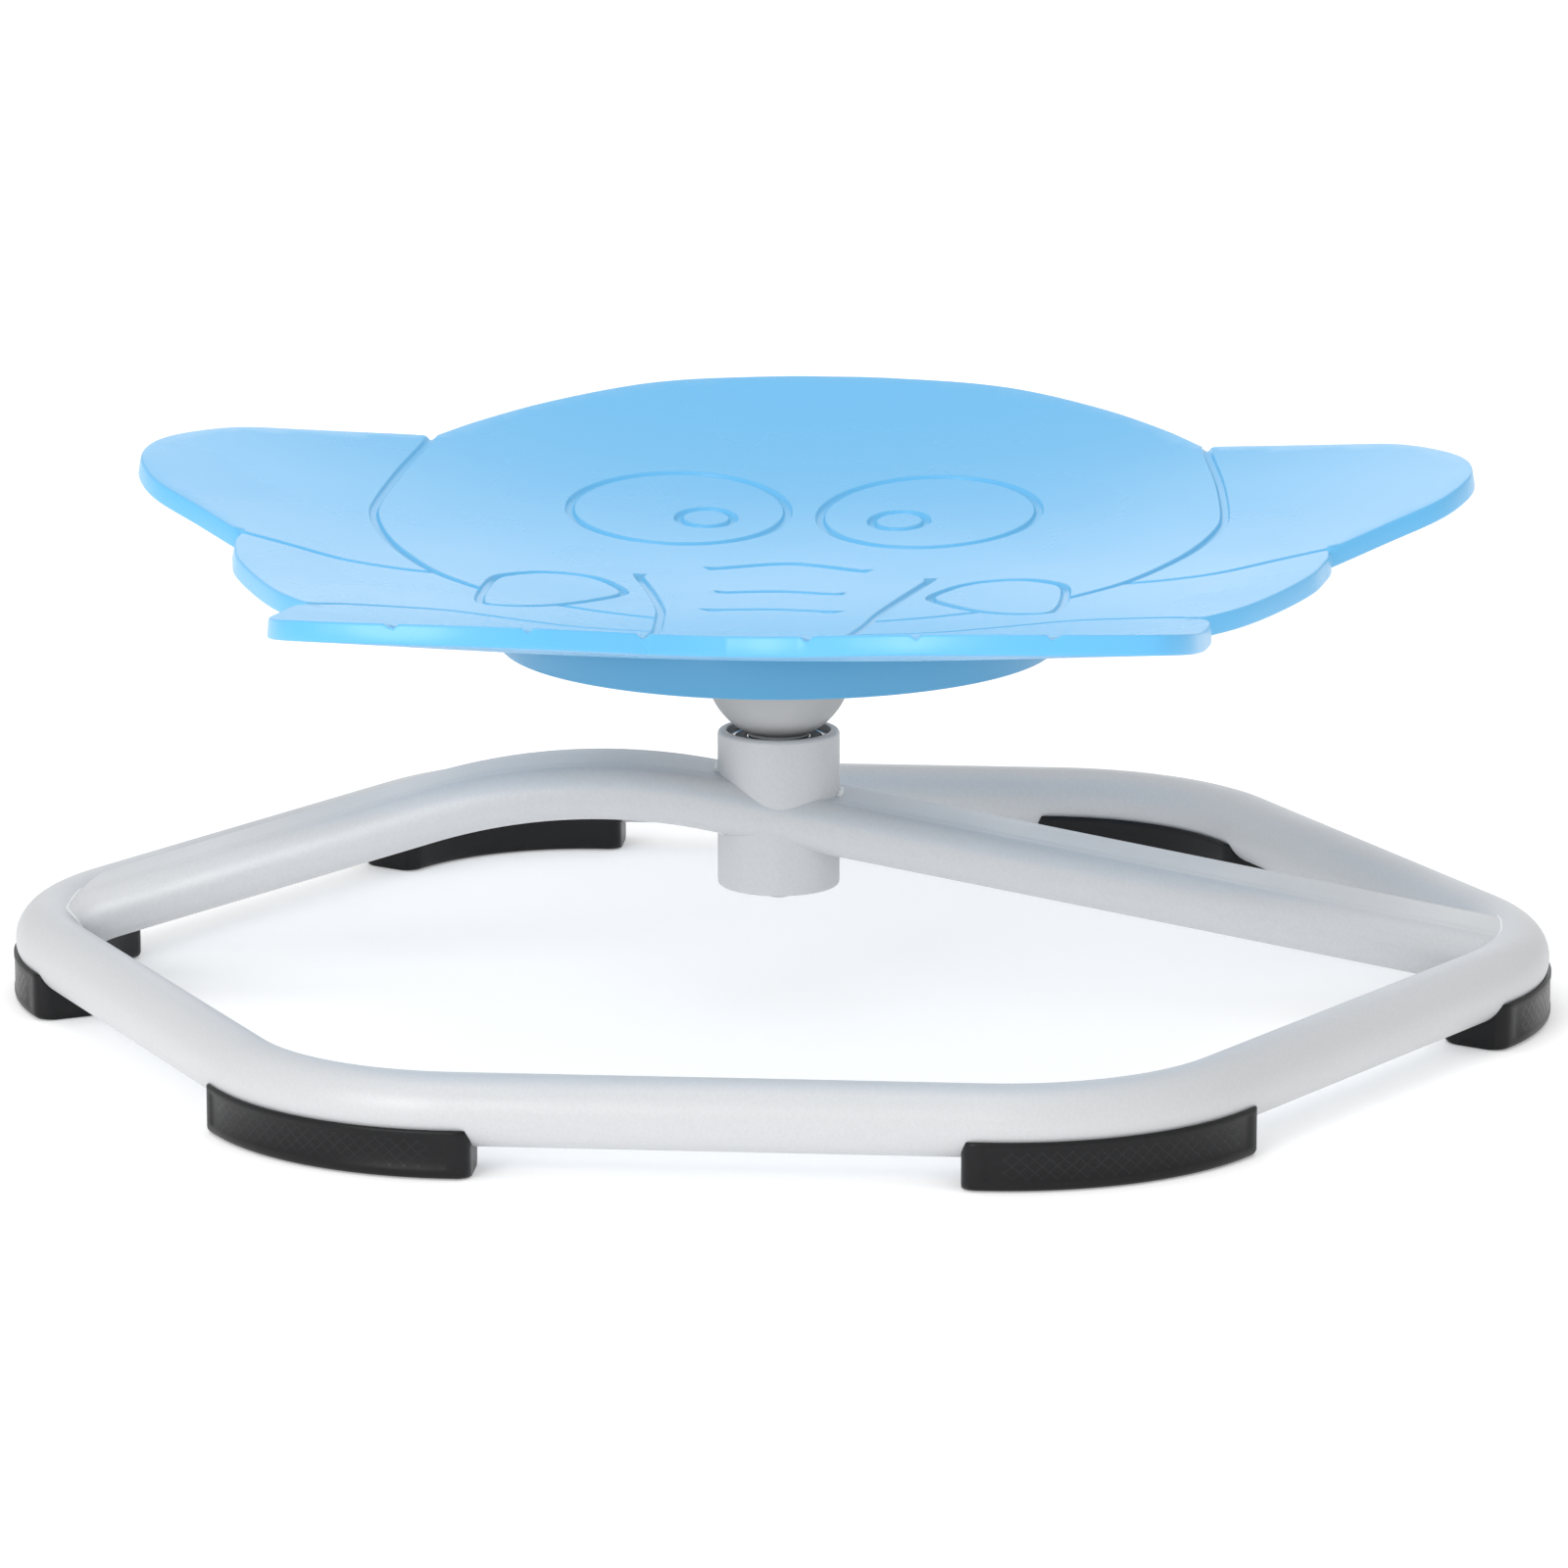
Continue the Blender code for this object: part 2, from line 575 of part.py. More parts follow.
def build_disc(paint):
    """Round disc, hollowed on top to carry the board, with a recess for plate and bolt head."""
    r = DISC_EDGE_ROUND
    recess_r = PLATE_R + GAP
    low = arc((DISC_R - r, DISC_BOTTOM + r), r, -90, 0, 2)
    rings = [circle_ring(radius, height, DISC_SEGMENTS) for radius, height in low]
    bearing = DISC_R - r - recess_r
    top = [(DISC_R, -r), (DISC_R - r * 0.3, -r * 0.3)]
    top += [(recess_r + bearing * i / DISC_TOP_STEPS, 0.0) for i in range(DISC_TOP_STEPS, -1, -1)]
    for radius, drop in top:
        ring = circle_ring(radius, 0.0, DISC_SEGMENTS)
        rings.append([Vector((p.x, p.y, disc_top(p.x, p.y) + drop)) for p in ring])
    for radius, height in [(recess_r, RECESS_FLOOR), (BEARING_BORE_R, RECESS_FLOOR),
                           (BEARING_BORE_R, DISC_BOTTOM)]:
        rings.append(circle_ring(radius, height, DISC_SEGMENTS))
    disc = add_object("seat_disc", loft(rings, wrap=True), paint)
    pilot = PLATE_TOP - PLATE_SCREW_LENGTH
    boolean(disc, hole_cutter("cut_disc_plate_screws", plate_screw_places(),
                              [(PLATE_SCREW_R + GAP, pilot, RECESS_FLOOR + 0.001)]))
    seat = board_screw_seat()
    boolean(disc, hole_cutter("cut_disc_board_screws", board_screw_places(),
                              [(COUNTERBORE_R, DISC_BOTTOM - 0.001, seat),
                               (BOARD_SCREW_R + GAP, seat, seat + BOARD_SCREW_WEB + 0.001)]))
    return disc


def board_screw_seat():
    """Height of the face in the disc that a board screw's head pulls on."""
    return disc_top(*board_screw_places()[0]) - BOARD_SCREW_WEB


def build_plate(steel):
    """Round steel plate under the bolt's head."""
    profile = [(BEARING_BORE_R, PLATE_BOTTOM), (PLATE_R, PLATE_BOTTOM),
               (PLATE_R, PLATE_BOTTOM + PLATE_H), (BEARING_BORE_R, PLATE_BOTTOM + PLATE_H)]
    plate = add_object("seat_plate", turned(profile), steel)
    boolean(plate, hole_cutter("cut_plate_screws", plate_screw_places(),
                               [(PLATE_SCREW_R + GAP, PLATE_BOTTOM - 0.001, PLATE_BOTTOM + PLATE_H + 0.001)]))
    return plate


def smooth_stretch(points):
    """Catmull-Rom curve through the points, without its last point."""
    curve = []
    padded = [points[0]] + points + [points[-1]]
    for i in range(len(points) - 1):
        a, b, c, d = (Vector(p) for p in padded[i:i + 4])
        for step in range(OUTLINE_STEPS):
            t = step / OUTLINE_STEPS
            curve.append(0.5 * (2 * b + (c - a) * t + (2 * a - 5 * b + 4 * c - d) * t ** 2
                                + (3 * b - a - 3 * c + d) * t ** 3))
    return curve


def board_outline():
    """The whole outline, the second half mirrored from the first."""
    half = []
    for stretch in (HEAD_BACK, EAR, CHEEK, CHIN):
        half += smooth_stretch(stretch)
    front = Vector(CHIN[-1])
    mirrored = [Vector((-p.x, p.y)) for p in reversed(half[1:])]
    return half + [front] + mirrored


def inset_outline(outline, distance):
    """The outline moved inwards, each point along its own bisector."""
    inset = []
    count = len(outline)
    for i, point in enumerate(outline):
        before = (point - outline[i - 1]).normalized()
        after = (outline[(i + 1) % count] - point).normalized()
        normal = Vector((before.y + after.y, -before.x - after.x)).normalized()
        inset.append(point + normal * distance)
    return inset


def on_board(point, height):
    """Place of a point of the plan on the dished board, `height` above its underside."""
    x, y = point[0], point[1]
    return Vector((x, y, dish_height(x, y))) - dish_normal(x, y) * (BOARD_H - height)


def inner_points(edge):
    """Even points inside an edge, kept clear of it."""
    reach = DISH_PITCH / 2
    steps = int(0.4 / DISH_PITCH)
    points = []
    for i in range(-steps, steps + 1):
        for j in range(-steps, steps + 1):
            point = Vector((i * DISH_PITCH, j * DISH_PITCH))
            inside = False
            clear = True
            for k, b in enumerate(edge):
                a = edge[k - 1]
                if (a.y > point.y) != (b.y > point.y):
                    if point.x < a.x + (b.x - a.x) * (point.y - a.y) / (b.y - a.y):
                        inside = not inside
                if (point - b).length < reach:
                    clear = False
            if inside and clear:
                points.append(point)
    return points


def dished_face(edge):
    """Plan points and triangles that fill an edge, its own points first."""
    points = list(edge) + inner_points(edge)
    count = len(edge)
    border = [(i, (i + 1) % count) for i in range(count)]
    filled = delaunay_2d_cdt(points, border, [], 1, 1e-7)
    if len(filled[0]) != len(points):
        raise ValueError("the board's outline crosses itself")
    return filled[0], filled[2]


def build_board(paint):
    """Dished seat board, its edge broken all round, with pilot holes from below."""
    outline = board_outline()
    narrow = inset_outline(outline, BOARD_EDGE)
    count = len(outline)
    plan, triangles = dished_face(narrow)
    bm = bmesh.new()
    low = [bm.verts.new(on_board(p, 0.0)) for p in plan]
    high = [bm.verts.new(on_board(p, BOARD_H)) for p in plan]
    for a, b, c in triangles:
        bm.faces.new((high[a], high[b], high[c]))
        bm.faces.new((low[c], low[b], low[a]))
    walls = [low[:count]]
    for height in (BOARD_EDGE, BOARD_H - BOARD_EDGE):
        walls.append([bm.verts.new(on_board(p, height)) for p in outline])
    walls.append(high[:count])
    for lower, upper in zip(walls, walls[1:]):
        for i in range(count):
            j = (i + 1) % count
            bm.faces.new((lower[i], lower[j], upper[j], upper[i]))
    board = add_object("seat_board", bm, paint)
    top = board_screw_seat() + BOARD_SCREW_WEB + BOARD_SCREW_BITE + 2 * GAP
    boolean(board, hole_cutter("cut_board_screws", board_screw_places(),
                               [(BOARD_SCREW_R + GAP, BOARD_BOTTOM - 0.002, top)]))
    return board


# ================================================================ assembly
def main():
    for obj in list(bpy.data.objects):
        bpy.data.objects.remove(obj, do_unlink=True)
    materials = {
        "silver_paint": make_material("silver_paint", (0.62, 0.63, 0.65), 0.42, 0.1),
        "grey_paint": make_material("grey_paint", (0.40, 0.40, 0.41), 0.5),
        "blue_paint": make_material("blue_paint", (0.25, 0.56, 0.93), 0.5),
        "black_rubber": make_material("black_rubber", (0.02, 0.02, 0.022), 0.7),
        "bearing_steel": make_material("bearing_steel", (0.6, 0.6, 0.6), 0.25, 1.0),
        "zinc_steel": make_material("zinc_steel", (0.55, 0.56, 0.58), 0.35, 1.0),
    }
    build_base_ring(materials["silver_paint"])
    for corner, name in enumerate(CORNER_NAMES):
        build_foot(corner, name, materials["black_rubber"])
        pan_screw(f"foot_screw_{name}", foot_screw_place(corner), SCREW_HEAD_SINK, FOOT_SCREW_LENGTH,
                  FOOT_SCREW_R, materials["zinc_steel"])
    for side in ("left", "right"):
        build_beam(side, materials["silver_paint"])
    build_hub(materials["silver_paint"])

    build_bearing("upper_bearing", UPPER_BEARING_Z, materials)
    build_bearing("lower_bearing", LOWER_BEARING_Z, materials)
    build_spacer(materials["zinc_steel"])
    build_pivot_bolt(materials["zinc_steel"])
    build_washer(materials["zinc_steel"])
    build_lock_nut(materials["zinc_steel"])
    build_collar(materials["grey_paint"])

    build_disc(materials["blue_paint"])
    build_plate(materials["zinc_steel"])
    build_board(materials["blue_paint"])
    plate_face = PLATE_TOP + GAP + SCREW_HEAD_H
    for number, place in enumerate(plate_screw_places(), 1):
        pan_screw(f"plate_screw_{number}", place, plate_face, PLATE_SCREW_LENGTH, PLATE_SCREW_R,
                  materials["zinc_steel"], up=-1)
    board_face = board_screw_seat() - GAP - SCREW_HEAD_H
    board_length = BOARD_SCREW_WEB + BOARD_SCREW_BITE + 2 * GAP
    for number, place in enumerate(board_screw_places(), 1):
        pan_screw(f"board_screw_{number}", place, board_face, board_length, BOARD_SCREW_R,
                  materials["zinc_steel"])


main()
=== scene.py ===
"""Spinning seat: the finished pieces, their finishes and the studio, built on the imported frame."""

import math

import bmesh
import bpy
import numpy as np
from bpy.props import FloatProperty, FloatVectorProperty, IntProperty, PointerProperty
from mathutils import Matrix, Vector
from mathutils.geometry import delaunay_2d_cdt


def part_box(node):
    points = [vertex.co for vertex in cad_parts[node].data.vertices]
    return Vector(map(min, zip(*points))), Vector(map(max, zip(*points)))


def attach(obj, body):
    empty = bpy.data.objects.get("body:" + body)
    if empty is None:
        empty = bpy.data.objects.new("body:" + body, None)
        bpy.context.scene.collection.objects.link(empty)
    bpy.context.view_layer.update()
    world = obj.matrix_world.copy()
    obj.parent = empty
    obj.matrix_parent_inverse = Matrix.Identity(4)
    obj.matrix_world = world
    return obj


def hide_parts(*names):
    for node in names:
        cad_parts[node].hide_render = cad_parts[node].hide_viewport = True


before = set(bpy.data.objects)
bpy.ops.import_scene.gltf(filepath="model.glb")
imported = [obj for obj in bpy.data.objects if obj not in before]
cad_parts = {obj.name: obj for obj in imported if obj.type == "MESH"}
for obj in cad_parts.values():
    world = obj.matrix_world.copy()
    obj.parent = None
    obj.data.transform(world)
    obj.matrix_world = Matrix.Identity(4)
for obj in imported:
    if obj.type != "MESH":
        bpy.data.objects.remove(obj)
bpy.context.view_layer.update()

bl_info = {
    "name": "Spinning Seat",
    "version": (1, 0, 0),
    "blender": (4, 5, 0),
    "location": "View3D > Sidebar > Spinning Seat",
    "description": "Builds a child's spinning seat: tube base, bearing hub and dished animal-head board",
    "category": "Add Mesh",
}

UP = Vector((0.0, 0.0, 1.0))
CORNERS = ("right", "back_right", "back_left", "left", "front_left", "front_right")


# ================================================================ sizes taken from the frame
def box_size(node):
    low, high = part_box(node)
    return high - low


TUBE_RADIUS = box_size("base_ring").z / 2
TUBE_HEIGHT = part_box("base_ring")[0].z + TUBE_RADIUS
HUB_RADIUS = box_size("hub_tube").x / 2
HUB_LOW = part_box("hub_tube")[0].z
HUB_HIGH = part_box("hub_tube")[1].z
DISC_RADIUS = box_size("seat_disc").x / 2
DISC_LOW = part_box("seat_disc")[0].z
BALL_RADIUS = box_size("half_ball_collar").x / 2
BALL_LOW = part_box("half_ball_collar")[0].z
BALL_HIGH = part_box("half_ball_collar")[1].z

RING_CORNER = 0.3172             # hub axis to a corner of the unrounded hexagon
RING_BEND = 0.0994               # bend radius of the tube's middle line
BEAM_CROWN_X = -0.070            # highest point of the beam's flat top
BEAM_CROWN_Z = HUB_HIGH - 0.013
BEAM_BEND = 0.250                # radius of the flat top's bend
BEAM_LEFT_RISE = 0.0145          # flat top above the tube's middle, at the ring
BEAM_RIGHT_RISE = 0.0112
BEAM_PROUD = 0.0012              # how far the beam's sides stand out past the hub
CREASE_DEPTH = 0.00035           # soft sink where the beam's flat top meets its side
CREASE_WIDTH = 0.0022
HUB_BORE = 0.0213
BEARING_STEP = 0.0025            # how far the hub's wall stands in between the bearings
BEARING_BORE = 0.010
THREAD_BORE = 0.0053             # bore of the washer and the lock nut
AIR = 0.0003                     # air between pieces that don't touch
SCREW_HEAD_HEIGHT = 0.003
DISC_INNER_RADIUS = 0.0605       # where the disc's visible ring starts
DISC_PAINTED_SHADE = 0.72                # painted shade: how much darker the disc's blue is made than the board's, standing in for the shadow under the board
BEAM_NOSE = 0.022                # length over which the left end dips under the ring's top
BEAM_NOSE_SINK = 0.0138
BEAM_NOSE_TAPER = 0.30
FOOT_HALF_LENGTH = 0.0606
FOOT_PROUD = 0.0009              # how far a foot's wall stands out past the tube
FOOT_END_ROUND = 0.0058
FOOT_PANEL_MARGIN = 0.0085       # from a foot's end to its panel's frame
CAMERA_TURN = 4.7826             # degrees round the object, and above its level
CAMERA_RISE = 12.6811
CAMERA_AIM = (0.00218, 0.0, 0.0904)
CAMERA_DISTANCE = 3.2218
CAMERA_LENS = 180.56
CORNER_CENTRE = RING_CORNER - RING_BEND / math.cos(math.radians(30))
HALF_BEND = RING_BEND * math.radians(30)

# Half of the board's edge in plan, from the middle of the back to the middle of
# the front, in stretches that meet at corners.
HEAD_EDGE = [(0.0000, 0.2775), (0.0235, 0.2770), (0.0640, 0.2725), (0.0930, 0.2633),
             (0.1247, 0.2446), (0.1495, 0.2220), (0.1665, 0.2000)]
EAR_EDGE = [(0.1665, 0.2000), (0.1850, 0.1985), (0.2270, 0.1915), (0.2505, 0.1843),
            (0.2680, 0.1670), (0.2785, 0.1460), (0.2812, 0.1220), (0.2772, 0.0985),
            (0.2665, 0.0735), (0.2445, 0.0450), (0.2230, 0.0150)]
CHEEK_EDGE = [(0.2230, 0.0150), (0.2233, 0.0020), (0.2215, -0.0120), (0.2168, -0.0355),
              (0.2040, -0.0700), (0.1900, -0.1010), (0.1750, -0.1230)]
FOOT_EDGE = [(0.1750, -0.1230), (0.1788, -0.1340), (0.1800, -0.1500), (0.1797, -0.1750),
             (0.1785, -0.2050), (0.1745, -0.2280), (0.1640, -0.2435), (0.1450, -0.2515),
             (0.1240, -0.2560), (0.1000, -0.2580), (0.0730, -0.2560), (0.0500, -0.2495),
             (0.0300, -0.2415), (0.0150, -0.2370), (0.0000, -0.2355)]

# Engraved lines of the right half. Each is mirrored to the left.
HEAD_LINE = [(0.1690, 0.2040), (0.1680, 0.1960), (0.1747, 0.1520), (0.1783, 0.1070), (0.1770, 0.0820),
             (0.1680, 0.0500), (0.1550, 0.0220), (0.1396, -0.0037), (0.1174, -0.0280)]
EAR_LINE = [(0.2290, 0.0170), (0.2225, 0.0165), (0.2015, 0.0085), (0.1790, -0.0025), (0.1570, -0.0052),
            (0.1396, -0.0037)]
CHEEK_LINE = [(0.1810, -0.1270), (0.1750, -0.1230), (0.1595, -0.1080), (0.1310, -0.0945),
              (0.1130, -0.0955), (0.0900, -0.1060), (0.0700, -0.1160), (0.0385, -0.1220)]
CHIN_LINE = [(0.0856, -0.0480), (0.0640, -0.0590), (0.0425, -0.0680)]
TRUNK_LINE = [(0.0598, 0.0255), (0.0515, -0.0050), (0.0445, -0.0400), (0.0420, -0.0680),
              (0.0390, -0.1100), (0.0370, -0.1600), (0.0330, -0.2050), (0.0300, -0.2500)]
TUSK_LOOP = [(0.0625, -0.0095), (0.0680, 0.0060), (0.0770, 0.0170), (0.0890, 0.0208), (0.1010, 0.0185),
             (0.1110, 0.0100), (0.1165, 0.0000), (0.1178, -0.0200), (0.1170, -0.0450), (0.1130, -0.0615),
             (0.1000, -0.0600), (0.0856, -0.0480), (0.0715, -0.0280)]
TOE_LINES = [[(0.1240, -0.2200), (0.1245, -0.2620)], [(0.0730, -0.2200), (0.0730, -0.2620)]]
EYE = (0.0532, 0.1277, 0.0462)       # middle x, y and radius
PUPIL = (0.0409, 0.1200, 0.0116)
WRINKLES = [[(-0.0297, 0.0455), (0.0, 0.0565), (0.0297, 0.0455)],
            [(-0.0220, 0.0020), (0.0, 0.0065), (0.0220, 0.0020)],
            [(-0.0203, -0.0373), (0.0, -0.0335), (0.0203, -0.0373)]]


# ================================================================ settings
class SpinnerBoardSettings(bpy.types.PropertyGroup):
    thickness: FloatProperty(name="Thickness", description="Board thickness", default=0.008, unit="LENGTH")
    face_height: FloatProperty(name="Face height", description="Height of the dished face at the hub",
                               default=0.1694, unit="LENGTH")
    bend_across: FloatProperty(name="Bend across", description="Radius of the dish from ear to ear",
                               default=1.283, unit="LENGTH")
    bend_along: FloatProperty(name="Bend along", description="Radius of the dish from front to back",
                              default=0.892, unit="LENGTH")
    ease: FloatProperty(name="Diagonal ease", description="How much flatter the diagonals are", default=4.80)
    edge_round: FloatProperty(name="Edge rounding", description="Radius round the board's rim",
                              default=0.0011, unit="LENGTH")
    groove_width: FloatProperty(name="Groove width", description="Width of an engraved line",
                                default=0.0046, unit="LENGTH")
    groove_depth: FloatProperty(name="Groove depth", description="Depth of an engraved line",
                                default=0.0019, unit="LENGTH")
    mesh_pitch: FloatProperty(name="Mesh spacing", description="Spacing of the points between the lines",
                              default=0.0060, unit="LENGTH")


class SpinnerBaseSettings(bpy.types.PropertyGroup):
    beam_height: FloatProperty(name="Beam height", description="Height of the flat-oval beam",
                               default=0.0226, unit="LENGTH")
    bead_radius: FloatProperty(name="Weld bead", description="Radius of the weld beads",
                               default=0.0018, unit="LENGTH")
    panel_depth: FloatProperty(name="Foot panel", description="Depth of the framed panel on a foot",
                               default=0.0003, unit="LENGTH")
    tube_facets: IntProperty(name="Tube facets", description="Facets round the base tube", default=48)


class SpinnerFinishSettings(bpy.types.PropertyGroup):
    silver: FloatVectorProperty(name="Silver paint", description="Colour of the base's powder coat",
                                subtype="COLOR", size=3, default=(0.60, 0.61, 0.625))
    grey: FloatVectorProperty(name="Grey paint", description="Colour of the half ball's powder coat",
                              subtype="COLOR", size=3, default=(0.47, 0.475, 0.48))
    blue: FloatVectorProperty(name="Board blue", description="Colour of the board and disc",
                              subtype="COLOR", size=3, default=(0.125, 0.50, 0.87))
    rubber: FloatVectorProperty(name="Rubber", description="Colour of the feet",
                                subtype="COLOR", size=3, default=(0.009, 0.009, 0.010))


class SpinnerStudioSettings(bpy.types.PropertyGroup):
    key_power: FloatProperty(name="Key light", description="Power of the large front light", default=42.0)
    fill_power: FloatProperty(name="Fill light", description="Power of the side light", default=2.0)
    top_power: FloatProperty(name="Top light", description="Power of the light overhead", default=17.0)
    back_power: FloatProperty(name="Back light", description="Power of the low light behind", default=15.0)
    sky: FloatProperty(name="Surroundings", description="Brightness all round", default=0.74)


# ================================================================ node helpers
class Nodes:
    """Short calls for wiring a node tree."""

    def __init__(self, tree):
        self.tree = tree
        self.column = 0

    def add(self, kind, **settings):
        node = self.tree.nodes.new(kind)
        self.column += 1
        node.location = (self.column * 190, -(self.column % 4) * 160)
        for name, value in settings.items():
            setattr(node, name, value)
        return node

    def link(self, source, target):
        self.tree.links.new(source, target)

    def math(self, operation, a, b=None, clamp=False):
        node = self.add("ShaderNodeMath", operation=operation, use_clamp=clamp)
        for socket, value in zip(node.inputs, (a, b)):
            if value is None:
                continue
            if hasattr(value, "is_output"):
                self.link(value, socket)
            else:
                socket.default_value = value
        return node.outputs[0]


def shader_group(name, inputs, outputs):
    """An empty shader node group with its sockets."""
    group = bpy.data.node_groups.new(name, "ShaderNodeTree")
    for title, kind, value in inputs:
        socket = group.interface.new_socket(name=title, in_out="INPUT", socket_type=kind)
        if value is not None:
            socket.default_value = value
    for title, kind in outputs:
        group.interface.new_socket(name=title, in_out="OUTPUT", socket_type=kind)
    return group


def grain_group():
    """Fine orange-peel grain of a sprayed or moulded surface."""
    existing = bpy.data.node_groups.get("surface grain")
    if existing:
        return existing
    group = shader_group("surface grain",
                         [("Vector", "NodeSocketVector", None), ("Scale", "NodeSocketFloat", 900.0),
                          ("Contrast", "NodeSocketFloat", 0.08)],
                         [("Height", "NodeSocketFloat"), ("Shade", "NodeSocketFloat")])
    n = Nodes(group)
    start, end = n.add("NodeGroupInput"), n.add("NodeGroupOutput")
    noise = n.add("ShaderNodeTexNoise")
    noise.inputs["Detail"].default_value = 3.0
    noise.inputs["Roughness"].default_value = 0.6
    n.link(start.outputs["Vector"], noise.inputs["Vector"])
    n.link(start.outputs["Scale"], noise.inputs["Scale"])
    centred = n.math("SUBTRACT", noise.outputs["Fac"], 0.5)
    spread = n.math("MULTIPLY", centred, start.outputs["Contrast"])
    n.link(noise.outputs["Fac"], end.inputs["Height"])
    n.link(n.math("ADD", spread, 1.0), end.inputs["Shade"])
    return group


def handling_group():
    """Broad soft patches left by hands and cleaning."""
    existing = bpy.data.node_groups.get("handling patches")
    if existing:
        return existing
    group = shader_group("handling patches",
                         [("Vector", "NodeSocketVector", None), ("Scale", "NodeSocketFloat", 14.0),
                          ("Low", "NodeSocketFloat", 0.3), ("High", "NodeSocketFloat", 0.5)],
                         [("Value", "NodeSocketFloat")])
    n = Nodes(group)
    start, end = n.add("NodeGroupInput"), n.add("NodeGroupOutput")
    noise = n.add("ShaderNodeTexNoise")
    noise.inputs["Detail"].default_value = 4.0
    n.link(start.outputs["Vector"], noise.inputs["Vector"])
    n.link(start.outputs["Scale"], noise.inputs["Scale"])
    ramp = n.add("ShaderNodeMapRange")
    ramp.inputs["From Min"].default_value = 0.35
    ramp.inputs["From Max"].default_value = 0.65
    n.link(noise.outputs["Fac"], ramp.inputs["Value"])
    n.link(start.outputs["Low"], ramp.inputs["To Min"])
    n.link(start.outputs["High"], ramp.inputs["To Max"])
    n.link(ramp.outputs["Result"], end.inputs["Value"])
    return group


def hatch_group():
    """Crossed diagonal lines, as moulded on a rubber foot; x and y are metres on the wall."""
    existing = bpy.data.node_groups.get("diamond hatch")
    if existing:
        return existing
    group = shader_group("diamond hatch",
                         [("Vector", "NodeSocketVector", None), ("Pitch", "NodeSocketFloat", 0.005),
                          ("Line", "NodeSocketFloat", 0.055), ("Half Length", "NodeSocketFloat", 0.046),
                          ("Low", "NodeSocketFloat", 0.0045), ("High", "NodeSocketFloat", 0.0155)],
                         [("Mask", "NodeSocketFloat")])
    n = Nodes(group)
    start, end = n.add("NodeGroupInput"), n.add("NodeGroupOutput")
    split = n.add("ShaderNodeSeparateXYZ")
    n.link(start.outputs["Vector"], split.inputs[0])
    x, y = split.outputs["X"], split.outputs["Y"]
    lines = []
    for operation in ("ADD", "SUBTRACT"):
        step = n.math("DIVIDE", n.math(operation, x, y), start.outputs["Pitch"])
        off = n.math("ABSOLUTE", n.math("SUBTRACT", n.math("FRACT", step), 0.5))
        lines.append(n.math("LESS_THAN", off, start.outputs["Line"]))
    crossed = n.math("MAXIMUM", lines[0], lines[1])
    inside = n.math("LESS_THAN", n.math("ABSOLUTE", x), start.outputs["Half Length"])
    above = n.math("GREATER_THAN", y, start.outputs["Low"])
    below = n.math("LESS_THAN", y, start.outputs["High"])
    framed = n.math("MULTIPLY", inside, n.math("MULTIPLY", above, below))
    n.link(n.math("MULTIPLY", crossed, framed), end.inputs["Mask"])
    return group


def place_group(n, group, vector, **values):
    node = n.add("ShaderNodeGroup", node_tree=group)
    n.link(vector, node.inputs["Vector"])
    for title, value in values.items():
        node.inputs[title.replace("_", " ")].default_value = value
    return node


def finish(name, colour, rough=(0.38, 0.48), grain_scale=900.0, grain_depth=0.00002, contrast=0.06,
           metallic=0.0, patch_scale=14.0, specular=0.5, hatch=False, pale_bounce=0.0):
    """A painted, moulded or plated finish from the shared groups."""
    material = bpy.data.materials.new(name)
    material.use_nodes = True
    material.diffuse_color = (*colour, 1.0)
    n = Nodes(material.node_tree)
    shader = material.node_tree.nodes["Principled BSDF"]
    shader.inputs["Metallic"].default_value = metallic
    shader.inputs["Specular IOR Level"].default_value = specular
    coordinates = n.add("ShaderNodeTexCoord").outputs["Object"]
    grain = place_group(n, grain_group(), coordinates, Scale=grain_scale, Contrast=contrast)
    patches = place_group(n, handling_group(), coordinates, Scale=patch_scale, Low=rough[0], High=rough[1])
    tint = n.add("ShaderNodeMix", data_type="RGBA", blend_type="MULTIPLY")
    tint.inputs["Factor"].default_value = 1.0
    tint.inputs["A"].default_value = (*colour, 1.0)
    shade = n.add("ShaderNodeCombineColor")
    for channel in shade.inputs:
        n.link(grain.outputs["Shade"], channel)
    n.link(shade.outputs[0], tint.inputs["B"])
    n.link(tint.outputs["Result"], shader.inputs["Base Color"])
    if pale_bounce:
        bounce = n.add("ShaderNodeMix", data_type="RGBA", blend_type="MIX")
        n.link(n.math("MULTIPLY", n.add("ShaderNodeLightPath").outputs["Is Diffuse Ray"], pale_bounce),
               bounce.inputs["Factor"])
        n.link(tint.outputs["Result"], bounce.inputs["A"])
        bounce.inputs["B"].default_value = (0.80, 0.80, 0.80, 1.0)
        n.link(bounce.outputs["Result"], shader.inputs["Base Color"])
    n.link(patches.outputs["Value"], shader.inputs["Roughness"])
    bump = n.add("ShaderNodeBump")
    bump.inputs["Strength"].default_value = 1.0
    bump.inputs["Distance"].default_value = grain_depth
    height = grain.outputs["Height"]
    if hatch:
        wall = n.add("ShaderNodeUVMap", uv_map="wall").outputs[0]
        mask = place_group(n, hatch_group(), wall).outputs["Mask"]
        height = n.math("ADD", height, n.math("MULTIPLY", mask, 3.0))
        glint = n.math("SUBTRACT", patches.outputs["Value"], n.math("MULTIPLY", mask, 0.18))
        n.link(glint, shader.inputs["Roughness"])
        pale = n.add("ShaderNodeMix", data_type="RGBA", blend_type="MIX")
        n.link(n.math("MULTIPLY", mask, 0.30), pale.inputs["Factor"])
        n.link(tint.outputs["Result"], pale.inputs["A"])
        pale.inputs["B"].default_value = (0.045, 0.045, 0.048, 1.0)
        n.link(pale.outputs["Result"], shader.inputs["Base Color"])
    n.link(height, bump.inputs["Height"])
    n.link(bump.outputs["Normal"], shader.inputs["Normal"])
    return material


